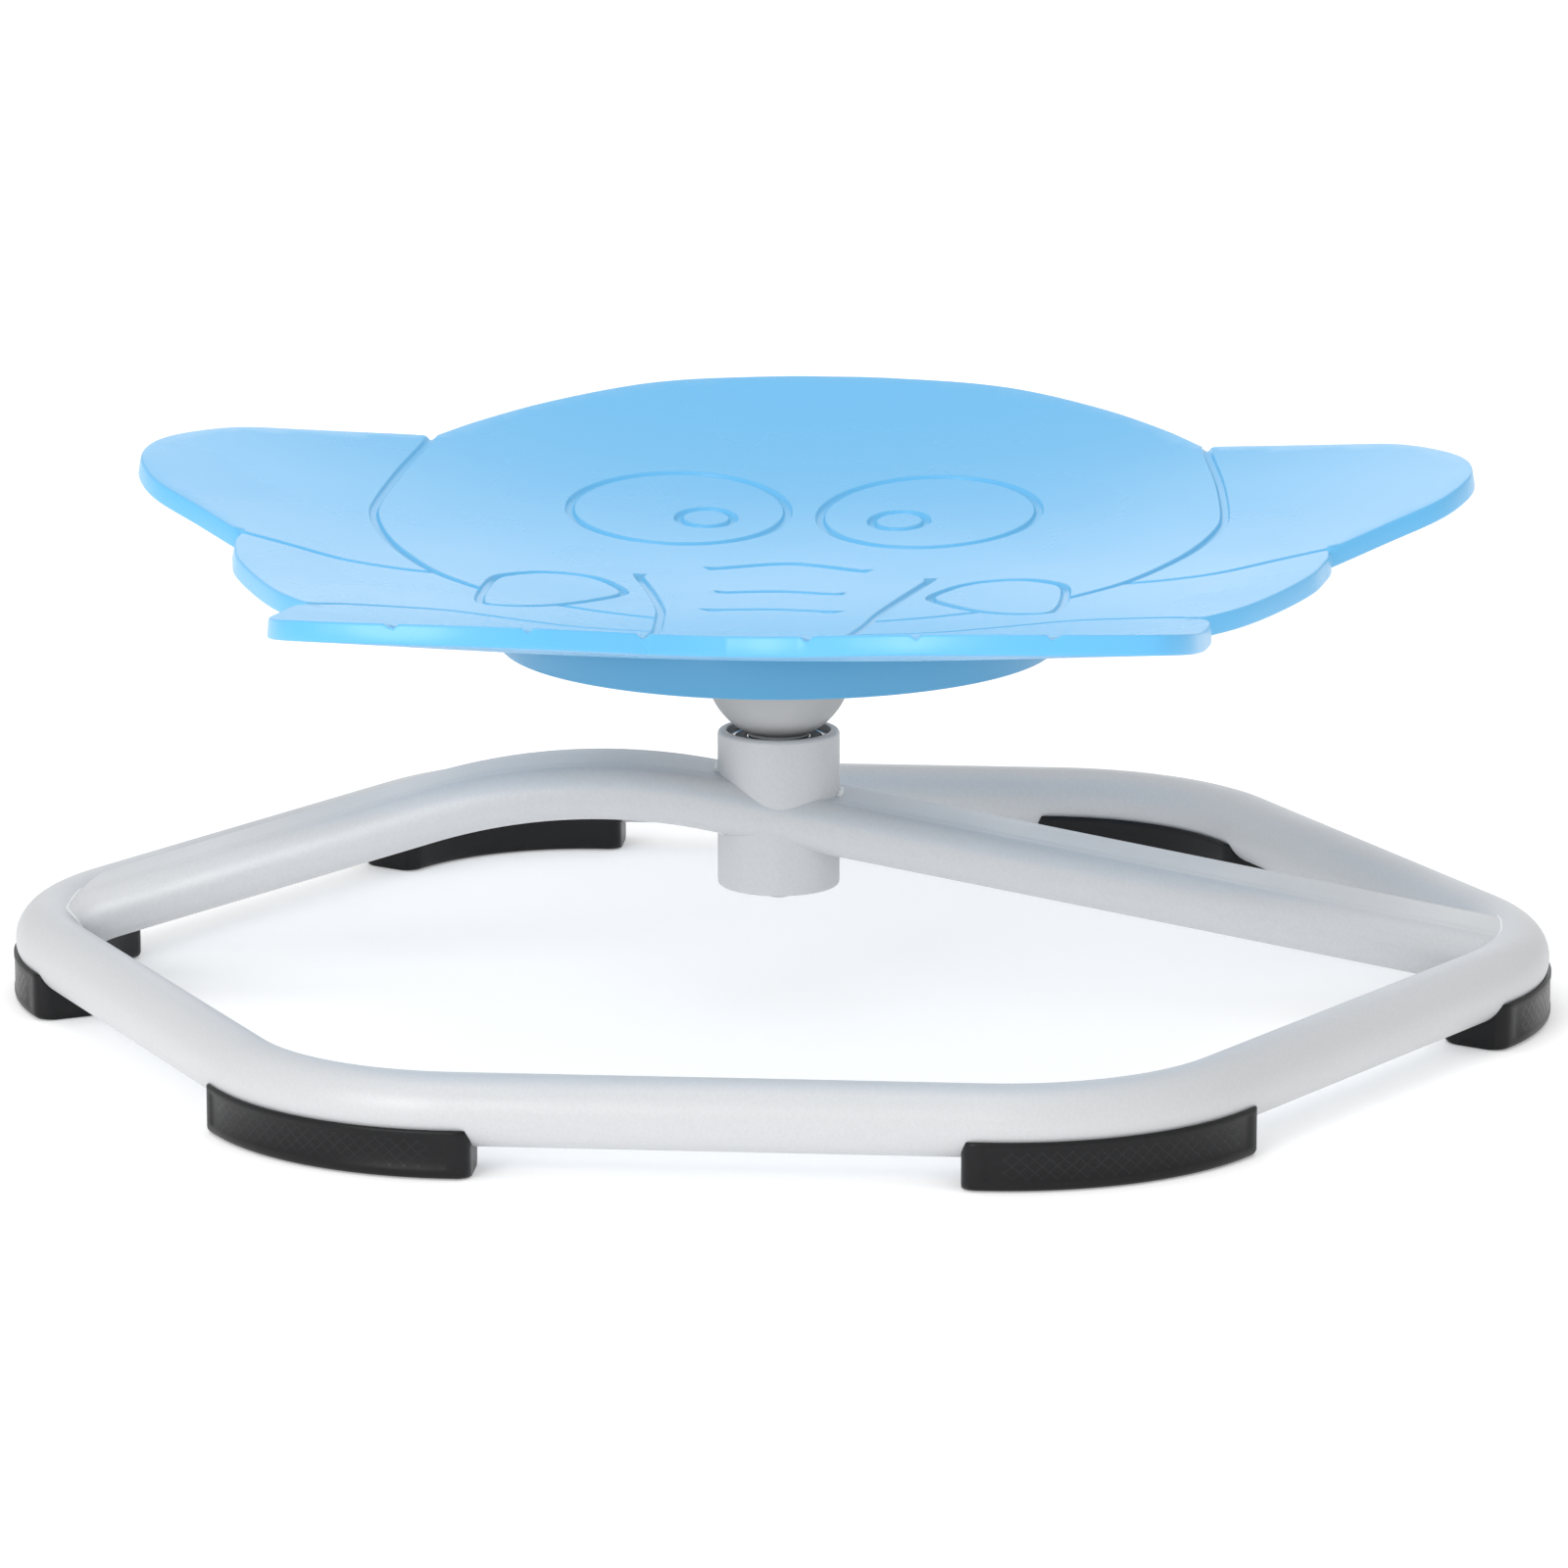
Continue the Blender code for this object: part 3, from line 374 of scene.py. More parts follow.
def finishes():
    """All finishes by name, made once."""
    colours = bpy.context.scene.spinner_finish
    made = {m.name: m for m in bpy.data.materials}
    if "silver powder coat" in made:
        return made
    finish("silver powder coat", colours.silver, (0.40, 0.50), 900.0, 0.00006, 0.16, metallic=0.10)
    finish("weld bead", (0.74, 0.745, 0.75), (0.34, 0.44), 700.0, 0.00006, 0.12, metallic=0.06)
    finish("grey powder coat", colours.grey, (0.42, 0.50), 1400.0, 0.00002, 0.07, metallic=0.04)
    finish("blue board plastic", colours.blue, (0.24, 0.30), 1100.0, 0.00002, 0.04,
           patch_scale=9.0, specular=0.55, pale_bounce=0.8)
    # The disc's finish is the board's blue darkened as painted shade for the shadow the board casts on it.
    finish("blue disc plastic", [c * DISC_PAINTED_SHADE for c in colours.blue], (0.30, 0.36), 1100.0, 0.00002, 0.04,
           patch_scale=9.0, pale_bounce=0.8)
    finish("moulded rubber", colours.rubber, (0.32, 0.42), 700.0, 0.00003, 0.25,
           patch_scale=30.0, specular=0.22, hatch=True)
    finish("zinc plate", (0.56, 0.57, 0.59), (0.26, 0.40), 600.0, 0.00001, 0.10,
           metallic=1.0, patch_scale=120.0)
    finish("ground bearing steel", (0.60, 0.60, 0.61), (0.16, 0.26), 2200.0, 0.00001, 0.05,
           metallic=1.0, patch_scale=90.0)
    finish("seal rubber", (0.02, 0.02, 0.021), (0.45, 0.6), 900.0, 0.00002, 0.2, patch_scale=60.0)
    return {m.name: m for m in bpy.data.materials}


def repaint(node, material):
    """Give a piece that keeps its frame shape its own finish."""
    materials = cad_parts[node].data.materials
    materials.clear()
    materials.append(material)


# ================================================================ mesh helpers
def settle(obj, body, nodes, angle=35.0):
    """Shade a finished piece, let it ride on its body and stand for its CAD nodes."""
    obj.data.shade_smooth()
    obj.data.set_sharp_from_angle(angle=math.radians(angle))
    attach(obj, body)
    if nodes:
        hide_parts(*nodes)
    return obj


def mesh_piece(name, bm, material, fix_normals=True):
    """Turn a bmesh into a linked object."""
    if fix_normals:
        bmesh.ops.recalc_face_normals(bm, faces=bm.faces)
    mesh = bpy.data.meshes.new(name)
    bm.to_mesh(mesh)
    bm.free()
    mesh.materials.append(material)
    obj = bpy.data.objects.new(name, mesh)
    bpy.context.scene.collection.objects.link(obj)
    return obj


def loft(rings, wrap=False):
    """Skin rings of equally many points, capped or wrapped."""
    bm = bmesh.new()
    loops = [[bm.verts.new(point) for point in ring] for ring in rings]
    count = len(loops[0])
    pairs = list(zip(loops, loops[1:]))
    if wrap:
        pairs.append((loops[-1], loops[0]))
    for lower, upper in pairs:
        for i in range(count):
            j = (i + 1) % count
            bm.faces.new((lower[i], lower[j], upper[j], upper[i]))
    if not wrap:
        bm.faces.new(list(reversed(loops[0])))
        bm.faces.new(loops[-1])
    return bm


def circle(radius, height, count, place=(0.0, 0.0)):
    return [Vector((place[0] + radius * math.cos(2 * math.pi * i / count),
                    place[1] + radius * math.sin(2 * math.pi * i / count), height)) for i in range(count)]


def turned(profile, count=96, hollow=True):
    """Turn a profile of (radius, height) points about the hub's axis."""
    return loft([circle(r, z, count) for r, z in profile], wrap=hollow)


def arc(centre, radius, start, end, steps):
    points = []
    for i in range(steps + 1):
        a = math.radians(start + (end - start) * i / steps)
        points.append((centre[0] + radius * math.cos(a), centre[1] + radius * math.sin(a)))
    return points


def rounded(profile, radius, steps=3):
    """Round the corners of a closed (radius, height) profile."""
    result = []
    count = len(profile)
    for i, corner in enumerate(profile):
        a, b, c = Vector(profile[i - 1]), Vector(corner), Vector(profile[(i + 1) % count])
        reach = min(radius, (a - b).length * 0.45, (c - b).length * 0.45)
        start, end = b + (a - b).normalized() * reach, b + (c - b).normalized() * reach
        for k in range(steps + 1):
            t = k / steps
            point = start * (1 - t) ** 2 + b * 2 * t * (1 - t) + end * t * t
            result.append((point.x, point.y))
    return result


def smooth_line(points, steps, closed=False):
    """Catmull-Rom curve through the points."""
    curve = []
    count = len(points)
    spans = count if closed else count - 1
    for i in range(spans):
        if closed:
            a, b, c, d = (Vector(points[(i + k) % count]) for k in (-1, 0, 1, 2))
        else:
            a, b = Vector(points[max(i - 1, 0)]), Vector(points[i])
            c, d = Vector(points[i + 1]), Vector(points[min(i + 2, count - 1)])
        for step in range(steps):
            t = step / steps
            curve.append(0.5 * (2 * b + (c - a) * t + (2 * a - 5 * b + 4 * c - d) * t ** 2
                                + (3 * b - a - 3 * c + d) * t ** 3))
    if not closed:
        curve.append(Vector(points[-1]))
    return curve


# ================================================================ node trees that make meshes
def mesh_tree(name, sockets):
    """A Geometry Nodes tree with its inputs, its group nodes and one geometry output."""
    tree = bpy.data.node_groups.new(name, "GeometryNodeTree")
    tree.interface.new_socket(name="Geometry", in_out="INPUT", socket_type="NodeSocketGeometry")
    for title, kind, value in sockets:
        socket = tree.interface.new_socket(name=title, in_out="INPUT", socket_type=kind)
        if value is not None:
            socket.default_value = value
    tree.interface.new_socket(name="Geometry", in_out="OUTPUT", socket_type="NodeSocketGeometry")
    n = Nodes(tree)
    return tree, n, n.add("NodeGroupInput"), n.add("NodeGroupOutput")


def sweep_tree():
    """A round tube or weld bead along a line, its radius rippling if asked."""
    existing = bpy.data.node_groups.get("tube along line")
    if existing:
        return existing
    tree, n, start, end = mesh_tree("tube along line",
                                    [("Radius", "NodeSocketFloat", 0.014), ("Facets", "NodeSocketInt", 48),
                                     ("Ripple", "NodeSocketFloat", 0.0),
                                     ("Material", "NodeSocketMaterial", None)])
    curve = n.add("GeometryNodeMeshToCurve")
    n.link(start.outputs["Geometry"], curve.inputs[0])
    index = n.add("GeometryNodeInputIndex")
    wave = n.math("SINE", n.math("MULTIPLY", index.outputs[0], 1.7))
    width = n.math("ADD", n.math("MULTIPLY", wave, start.outputs["Ripple"]), 1.0)
    thick = n.add("GeometryNodeSetCurveRadius")
    n.link(curve.outputs[0], thick.inputs["Curve"])
    n.link(width, thick.inputs["Radius"])
    section = n.add("GeometryNodeCurvePrimitiveCircle")
    n.link(start.outputs["Facets"], section.inputs["Resolution"])
    n.link(start.outputs["Radius"], section.inputs["Radius"])
    skin = n.add("GeometryNodeCurveToMesh")
    skin.inputs["Fill Caps"].default_value = True
    n.link(thick.outputs[0], skin.inputs["Curve"])
    n.link(section.outputs["Curve"], skin.inputs["Profile Curve"])
    if "Scale" in skin.inputs:
        radius = n.add("GeometryNodeInputRadius")
        n.link(radius.outputs[0], skin.inputs["Scale"])
    close_tree(n, skin.outputs[0], start, end)
    return tree


def scatter_tree():
    """One small part set on every point."""
    existing = bpy.data.node_groups.get("part on points")
    if existing:
        return existing
    tree, n, start, end = mesh_tree("part on points",
                                    [("Part", "NodeSocketObject", None), ("Turn", "NodeSocketFloat", 0.0),
                                     ("Material", "NodeSocketMaterial", None)])
    info = n.add("GeometryNodeObjectInfo")
    n.link(start.outputs["Part"], info.inputs["Object"])
    put = n.add("GeometryNodeInstanceOnPoints")
    n.link(start.outputs["Geometry"], put.inputs["Points"])
    n.link(info.outputs["Geometry"], put.inputs["Instance"])
    turn = n.add("ShaderNodeCombineXYZ")
    index = n.add("GeometryNodeInputIndex")
    n.link(n.math("MULTIPLY", index.outputs[0], start.outputs["Turn"]), turn.inputs["Z"])
    n.link(turn.outputs[0], put.inputs["Rotation"])
    close_tree(n, put.outputs[0], start, end)
    return tree


def close_tree(n, geometry, start, end):
    """Realize Instances, Set Material, output."""
    real = n.add("GeometryNodeRealizeInstances")
    paint = n.add("GeometryNodeSetMaterial")
    n.link(geometry, real.inputs[0])
    n.link(real.outputs[0], paint.inputs["Geometry"])
    n.link(start.outputs["Material"], paint.inputs["Material"])
    n.link(paint.outputs[0], end.inputs[0])


def grown(name, bm, tree, values, material):
    """Run a tree on a bmesh and return the result as a plain mesh object."""
    mesh = bpy.data.meshes.new(name + " line")
    bm.to_mesh(mesh)
    bm.free()
    source = bpy.data.objects.new(name + " line", mesh)
    bpy.context.scene.collection.objects.link(source)
    modifier = source.modifiers.new("tree", "NODES")
    modifier.node_group = tree
    values = {**values, "Material": material}
    for item in tree.interface.items_tree:
        if item.item_type == "SOCKET" and item.in_out == "INPUT" and item.name in values:
            modifier[item.identifier] = values[item.name]
    graph = bpy.context.evaluated_depsgraph_get()
    plain = bpy.data.meshes.new_from_object(source.evaluated_get(graph))
    plain.name = name
    bpy.data.objects.remove(source)
    obj = bpy.data.objects.new(name, plain)
    bpy.context.scene.collection.objects.link(obj)
    if not plain.vertices:
        raise RuntimeError(f"{name} came out empty")
    return obj


def line_mesh(lines):
    """Edges through lists of points; each is (points, closed)."""
    bm = bmesh.new()
    for points, closed in lines:
        verts = [bm.verts.new(p) for p in points]
        for a, b in zip(verts, verts[1:]):
            bm.edges.new((a, b))
        if closed:
            bm.edges.new((verts[-1], verts[0]))
    return bm


# ================================================================ base ring and feet
def ring_frame(corner, along):
    """Point on the tube's middle line, outward direction, direction of the tube."""
    middle = math.radians(60 * corner)
    swing = max(-HALF_BEND, min(HALF_BEND, along))
    angle = middle + swing / RING_BEND
    out = Vector((math.cos(angle), math.sin(angle), 0.0))
    forward = Vector((-out.y, out.x, 0.0))
    centre = Vector((math.cos(middle), math.sin(middle), 0.0)) * CORNER_CENTRE
    point = centre + out * RING_BEND + forward * (along - swing)
    point.z = TUBE_HEIGHT
    return point, out, forward


def ring_path(steps=20):
    path = []
    for corner in range(6):
        for step in range(steps + 1):
            path.append(ring_frame(corner, HALF_BEND * (2 * step / steps - 1))[0])
    return path


def foot_section(half, panel):
    """Saddle section, (outward, up) from the tube's middle; the outer wall may hold a panel."""
    seat = TUBE_RADIUS + 0.0002
    lip = math.sqrt(seat ** 2 - 0.005 ** 2)
    inner = min(lip, half - 0.0003)
    lip_z = -math.sqrt(seat ** 2 - inner ** 2)
    sole = -TUBE_HEIGHT
    heel = arc((half - 0.0025, sole + 0.0025), 0.0025, 0, -90, 4)
    top = lip_z - 0.0022
    low = sole + 0.0040
    wall = [(half - 0.0004, lip_z), (half, lip_z - 0.0004), (half, top), (half - panel, top - 0.0005),
            (half - panel, low + 0.0005), (half, low)]
    plain = [(-half, low), (-half, low + 0.0005), (-half, top - 0.0005), (-half, top),
             (-half, lip_z - 0.0004), (-half + 0.0004, lip_z)]
    start, end = math.degrees(math.atan2(lip_z, -inner)), math.degrees(math.atan2(lip_z, inner))
    return wall + heel + [(-x, z) for x, z in reversed(heel)] + plain + arc((0, 0), seat, start, end, 16)


def foot_piece(bm, wall_map, corner, panel_depth):
    """Add one rubber foot; the map holds metres along and up its outer wall."""
    full = TUBE_RADIUS + FOOT_PROUD
    ends = arc((FOOT_HALF_LENGTH - FOOT_END_ROUND, full - FOOT_END_ROUND), FOOT_END_ROUND, 0, 90, 9)
    stations = [(-a, w, 0.0) for a, w in ends]
    edges = [-(FOOT_HALF_LENGTH - FOOT_PANEL_MARGIN), -(FOOT_HALF_LENGTH - FOOT_PANEL_MARGIN - 0.0005)]
    steps = 34
    inner = [edges[1] - 2 * edges[1] * i / steps for i in range(steps + 1)]
    stations += [(edges[0], full, 0.0)] + [(a, full, panel_depth) for a in inner] + [(-edges[0], full, 0.0)]
    stations += [(a, w, 0.0) for a, w in reversed(ends)]
    rings, map_rows = [], []
    for along, width, panel in stations:
        point, out, _ = ring_frame(corner, along)
        section = foot_section(width, panel)
        rings.append([point + x * out + UP * z for x, z in section])
        map_rows.append([(along, z + TUBE_HEIGHT if x > 0 and i < 11 else -1.0)
                         for i, (x, z) in enumerate(section)])
    loops = [[bm.verts.new(p) for p in ring] for ring in rings]
    count = len(loops[0])
    for s in range(len(loops) - 1):
        for i in range(count):
            j = (i + 1) % count
            face = bm.faces.new((loops[s][i], loops[s][j], loops[s + 1][j], loops[s + 1][i]))
            for loop, (row, col) in zip(face.loops, ((s, i), (s, j), (s + 1, j), (s + 1, i))):
                loop[wall_map].uv = map_rows[row][col]
    for ends_loop in (list(reversed(loops[0])), loops[-1]):
        face = bm.faces.new(ends_loop)
        for loop in face.loops:
            loop[wall_map].uv = (0.0, -1.0)


# ================================================================ cross beam
def end_slope(reach, rise):
    """Slope of the straight stretch that leaves the bend and meets the ring at its rise."""
    up = TUBE_HEIGHT + rise - (BEAM_CROWN_Z - BEAM_BEND)
    return math.atan2(reach, up) - math.acos(BEAM_BEND / math.hypot(reach, up))


def beam_centre_line():
    """Stations along the beam's top from left to right: x, height, slope."""
    crown_x, crown_z, bend = BEAM_CROWN_X, BEAM_CROWN_Z, BEAM_BEND
    end = CORNER_CENTRE + RING_BEND
    left = end_slope(end + crown_x, BEAM_LEFT_RISE)
    right = end_slope(end - crown_x, BEAM_RIGHT_RISE)

    def on_arc(a):
        return crown_x + bend * math.sin(a), crown_z - bend * (1 - math.cos(a)), -a

    stations = []
    x0, z0, _ = on_arc(-left)
    for i in range(40):
        x = -end + (x0 + end) * (i / 40) ** 1.6
        stations.append((x, z0 - (x0 - x) * math.tan(left), left))
    for i in range(25):
        stations.append(on_arc(-left + (left + right) * i / 24))
    x0, z0, _ = on_arc(right)
    for i in range(1, 21):
        x = x0 + (end - 0.004 - x0) * i / 20
        stations.append((x, z0 - (x - x0) * math.tan(right), -right))
    return stations


def oval(half_flat, radius, steps=20, flat_steps=24):
    """Flat-oval section, (across, up), from the bottom of the right side."""
    points = arc((half_flat, 0.0), radius, -90, 90, steps)
    points += [(half_flat - 2 * half_flat * i / flat_steps, radius) for i in range(1, flat_steps)]
    points += arc((-half_flat, 0.0), radius, 90, 270, steps)
    points += [(-half_flat + 2 * half_flat * i / flat_steps, -radius) for i in range(1, flat_steps)]
    sunk = []
    for across, up in points:
        off = (abs(across) - half_flat + 0.0006) / CREASE_WIDTH
        sunk.append((across, up - CREASE_DEPTH * math.exp(-off * off) if up > 0.5 * radius else up))
    return sunk


def beam_rings(height):
    half = height / 2
    flat = HUB_RADIUS + BEAM_PROUD - half
    end = CORNER_CENTRE + RING_BEND
    rings = []
    for x, z, slope in beam_centre_line():
        up = Vector((-math.sin(slope), 0.0, math.cos(slope)))
        nose = max(0.0, (-x - (end - BEAM_NOSE)) / BEAM_NOSE)
        sink = BEAM_NOSE_SINK * nose ** 2
        narrow = 1.0 - BEAM_NOSE_TAPER * nose ** 2
        middle = Vector((x, 0.0, z - sink)) - up * half
        rings.append([middle + Vector((0.0, y * narrow, 0.0)) + up * w for y, w in oval(flat, half)])
    return rings


def seam(rings, meets):
    """Where each lengthwise line of the beam first leaves a body; None where it never does."""
    points = []
    for i in range(len(rings[0])):
        line = [ring[i] for ring in rings]
        found = None
        for a, b in zip(line, line[1:]):
            fa, fb = meets(a), meets(b)
            if fa * fb <= 0.0 and fa != fb:
                found = a + (b - a) * (fa / (fa - fb))
                break
        points.append(found)
    return points


def runs(points):
    """Split a closed list with gaps into unbroken stretches."""
    if all(p is not None for p in points):
        return [(points, True)]
    start = next(i for i, p in enumerate(points) if p is None)
    stretches, current = [], []
    for k in range(1, len(points) + 1):
        point = points[(start + k) % len(points)]
        if point is None:
            if len(current) > 2:
                stretches.append((current, False))
            current = []
        else:
            current.append(point)
    return stretches


# ================================================================ dished board
def dish_height(x, y):
    b = bpy.context.scene.spinner_board
    return (b.face_height + x * x / (2 * b.bend_across) + y * y / (2 * b.bend_along)
            - b.ease * x * x * y * y)


def dish_normal(x, y):
    b = bpy.context.scene.spinner_board
    slope_x = x / b.bend_across - 2 * b.ease * x * y * y
    slope_y = y / b.bend_along - 2 * b.ease * y * x * x
    return Vector((-slope_x, -slope_y, 1.0)).normalized()


def on_dish(x, y, drop):
    """Place on the board, `drop` below its face along the face's normal."""
    return Vector((x, y, dish_height(x, y))) - dish_normal(x, y) * drop


def board_edge(steps):
    half = []
    for stretch in (HEAD_EDGE, EAR_EDGE, CHEEK_EDGE, FOOT_EDGE):
        half += smooth_line(stretch, steps)[:-1]
    half.append(Vector(FOOT_EDGE[-1]))
    return half + [Vector((-p.x, p.y)) for p in reversed(half[1:-1])]


def inset(edge, distance):
    result = []
    count = len(edge)
    for i, point in enumerate(edge):
        before = (point - edge[i - 1]).normalized()
        after = (edge[(i + 1) % count] - point).normalized()
        normal = Vector((before.y + after.y, -before.x - after.x)).normalized()
        result.append(point + normal * distance)
    return result


def engraved_lines():
    """All engraved lines in plan as (points, closed)."""
    lines = []
    for side in (1, -1):
        for line in [HEAD_LINE, EAR_LINE, CHEEK_LINE, CHIN_LINE, TRUNK_LINE] + TOE_LINES:
            lines.append(([Vector((side * p.x, p.y)) for p in smooth_line(line, 6)], False))
        lines.append(([Vector((side * p.x, p.y)) for p in smooth_line(TUSK_LOOP, 5, True)], True))
        for (x, y, radius), count in ((EYE, 72), (PUPIL, 32)):
            lines.append(([p.xy for p in circle(radius, 0.0, count, (side * x, y))], True))
    for line in WRINKLES:
        lines.append((smooth_line(line, 10), False))
    return lines


class Engraving:
    """Distance from any plan point to the nearest engraved line."""

    def __init__(self, lines):
        starts, ends = [], []
        for points, closed in lines:
            chain = points + [points[0]] if closed else points
            starts += [tuple(p) for p in chain[:-1]]
            ends += [tuple(p) for p in chain[1:]]
        self.a = np.array(starts)
        self.ab = np.array(ends) - self.a
        self.len2 = np.maximum((self.ab ** 2).sum(1), 1e-12)

    def distance(self, points):
        result = []
        for p in np.array([tuple(q)[:2] for q in points]):
            t = np.clip(((p - self.a) * self.ab).sum(1) / self.len2, 0, 1)
            gap = p - (self.a + self.ab * t[:, None])
            result.append(math.sqrt((gap ** 2).sum(1).min()))
        return np.array(result)


def inside_edge(points, edge):
    """Which points lie inside a closed edge."""
    p = np.array([tuple(q)[:2] for q in points])
    e = np.array([tuple(q) for q in edge])
    inside = np.zeros(len(p), bool)
    for a, b in zip(np.roll(e, 1, axis=0), e):
        if a[1] == b[1]:
            continue
        crosses = (a[1] > p[:, 1]) != (b[1] > p[:, 1])
        inside ^= crosses & (p[:, 0] < a[0] + (b[0] - a[0]) * (p[:, 1] - a[1]) / (b[1] - a[1]))
    return inside


def beside(points, closed, distance):
    """A line moved sideways."""
    moved = []
    count = len(points)
    for i, p in enumerate(points):
        a = points[i - 1] if closed or i > 0 else p
        b = points[(i + 1) % count] if closed or i < count - 1 else p
        along = (b - a).normalized()
        moved.append(p + Vector((-along.y, along.x)) * distance)
    return moved


def filled_plan(edge, pitch, lines, engraving, width):
    """Triangles that fill an edge, with rows of points along the engraved lines."""
    points = [Vector(p) for p in edge]
    count = len(points)
    links = [(i, (i + 1) % count) for i in range(count)]
    limit = inset(edge, 0.0012)
    for line, closed in lines:
        for share in (-0.52, -0.42, -0.33, -0.23, 0.0, 0.23, 0.33, 0.42, 0.52):
            row = beside(line, closed, share * width)
            kept = inside_edge(row, limit)
            places = {}
            for i, p in enumerate(row):
                if kept[i]:
                    places[i] = len(points)
                    points.append(p)
            spans = len(row) if closed else len(row) - 1
            for i in range(spans):
                j = (i + 1) % len(row)
                if i in places and j in places:
                    links.append((places[i], places[j]))
    steps = int(0.3 / pitch)
    grid = [Vector((i * pitch + (j % 2) * pitch / 2, j * pitch)) for i in range(-steps, steps + 1)
            for j in range(-steps, steps + 1)]
    keep = inside_edge(grid, inset(edge, 0.004))
    if engraving is not None:
        keep &= engraving.distance(grid) > width / 2 + 0.002
    points += [p for p, k in zip(grid, keep) if k]
    filled = delaunay_2d_cdt(points, links, [], 1, 1e-7)
    border = {}
    for index, sources in enumerate(filled[3]):
        for source in sources:
            if source < count:
                border[source] = index
    return filled[0], filled[2], [border[i] for i in range(count)]


def board_mesh(settings):
    """The dished board with its engraved lines and rounded rim, and the normals of its face."""
    rim, width, depth = settings.edge_round, settings.groove_width, settings.groove_depth
    edge = board_edge(11)
    lines = engraved_lines()
    engraving = Engraving(lines)

    def groove(points):
        near = np.clip((1.0 - engraving.distance(points) / (width / 2)) / 0.55, 0.0, 1.0)
        return depth * near * near * (3 - 2 * near)

    def slope(dx, dy):
        ahead = groove([(p[0] + dx, p[1] + dy) for p in plan])
        behind = groove([(p[0] - dx, p[1] - dy) for p in plan])
        return (ahead - behind) / 2 / step

    narrow = inset(edge, rim)
    plan, triangles, border = filled_plan(narrow, settings.mesh_pitch, lines, engraving, width)
    bm = bmesh.new()
    drops = groove(plan)
    face = [bm.verts.new(on_dish(p[0], p[1], d)) for p, d in zip(plan, drops)]
    step = 0.0001
    across, along = slope(step, 0.0), slope(0.0, step)
    rim_points = set(border)
    normals = []
    for i, p in enumerate(plan):
        level = dish_normal(p[0], p[1])
        tilted = (level + Vector((across[i], along[i], 0.0))).normalized()
        normals.append(Vector() if i in rim_points else tilted)
    for a, b, c in triangles:
        bm.faces.new((face[a], face[b], face[c]))
    rim_drops = groove(edge)
    loops = [[face[i] for i in border]]
    count = len(edge)
    for inward, fall in ((0.45, 0.12), (0.12, 0.45), (0.0, 1.0)):
        ring = inset(edge, rim * inward)
        loops.append([bm.verts.new(on_dish(p.x, p.y, rim * fall + d)) for p, d in zip(ring, rim_drops)])
    thickness = settings.thickness
    for inward, rise in ((0.0, 1.0), (0.12, 0.45), (0.45, 0.12)):
        ring = inset(edge, rim * inward)
        loops.append([bm.verts.new(on_dish(p.x, p.y, thickness - rim * rise)) for p in ring])
    low_plan, low_triangles, low_border = filled_plan(narrow, 0.012, [], None, width)
    low = [bm.verts.new(on_dish(p[0], p[1], thickness)) for p in low_plan]
    for a, b, c in low_triangles:
        bm.faces.new((low[c], low[b], low[a]))
    loops.append([low[i] for i in low_border])
    for upper, lower in zip(loops, loops[1:]):
        for i in range(count):
            j = (i + 1) % count
            bm.faces.new((upper[i], upper[j], lower[j], lower[i]))
    return bm, normals


# ================================================================ operators
class SpinnerOperator:
    bl_options = {"REGISTER", "UNDO"}


class SPINNER_OT_base_ring(SpinnerOperator, bpy.types.Operator):
    """Bent hexagonal base tube"""
    bl_idname = "spinner.base_ring"
    bl_label = "Base ring"

    def execute(self, context):
        paint = finishes()["silver powder coat"]
        base = context.scene.spinner_base
        ring = grown("base_tube", line_mesh([(ring_path(), True)]), sweep_tree(),
                     {"Radius": TUBE_RADIUS, "Facets": base.tube_facets, "Ripple": 0.0}, paint)
        settle(ring, "base", ["base_ring"])
        return {"FINISHED"}


class SPINNER_OT_cross_beam(SpinnerOperator, bpy.types.Operator):
    """Flat-oval beam, unbroken through the hub, with weld beads at the hub and the ring"""
    bl_idname = "spinner.cross_beam"
    bl_label = "Cross beam"

    def execute(self, context):
        made = finishes()
        base = context.scene.spinner_base
        rings = beam_rings(base.beam_height)
        beam = mesh_piece("cross_beam", loft(rings), made["silver powder coat"])
        settle(beam, "base", ["beam_left", "beam_right"])
        path = ring_path(40)

        def off_hub(p):
            return math.hypot(p.x, p.y) - HUB_RADIUS

        def off_ring(p):
            return min((p - q).length for q in path) - TUBE_RADIUS

        lines = {"hub_weld_beads": [], "ring_weld_beads": []}
        for side in (1, -1):
            half = [r for r in rings if r[0].x * side > -0.03]
            half = half if side > 0 else half[::-1]
            hub_seam = [p if p is not None and p.x * side > 0.009 else None for p in seam(half, off_hub)]
            far = [r for r in rings if r[0].x * side > 0.24]
            far = far if side > 0 else far[::-1]
            ring_seam = [p if p is not None and (p - Vector((p.x, p.y, 0))).z > 0.012 else None
                         for p in seam(far, off_ring)]
            lines["hub_weld_beads"] += runs(hub_seam)
            lines["ring_weld_beads"] += runs(ring_seam)
        for name, share in (("hub_weld_beads", 1.0), ("ring_weld_beads", 0.45)):
            even = [(self.even(points, closed), closed) for points, closed in lines[name]]
            sizes = {"Radius": base.bead_radius * share, "Facets": 12, "Ripple": 0.10}
            beads = grown(name, line_mesh(even), sweep_tree(), sizes, made["weld bead"])
            settle(beads, "base", [], 60.0)
        return {"FINISHED"}

    @staticmethod
    def even(points, closed, pitch=0.0012):
        """The line again, with points every so often along it."""
        chain = points + [points[0]] if closed else points
        result = []
        for a, b in zip(chain, chain[1:]):
            steps = max(1, int((b - a).length / pitch))
            result += [a + (b - a) * k / steps for k in range(steps)]
        if not closed:
            result.append(chain[-1])
        return result


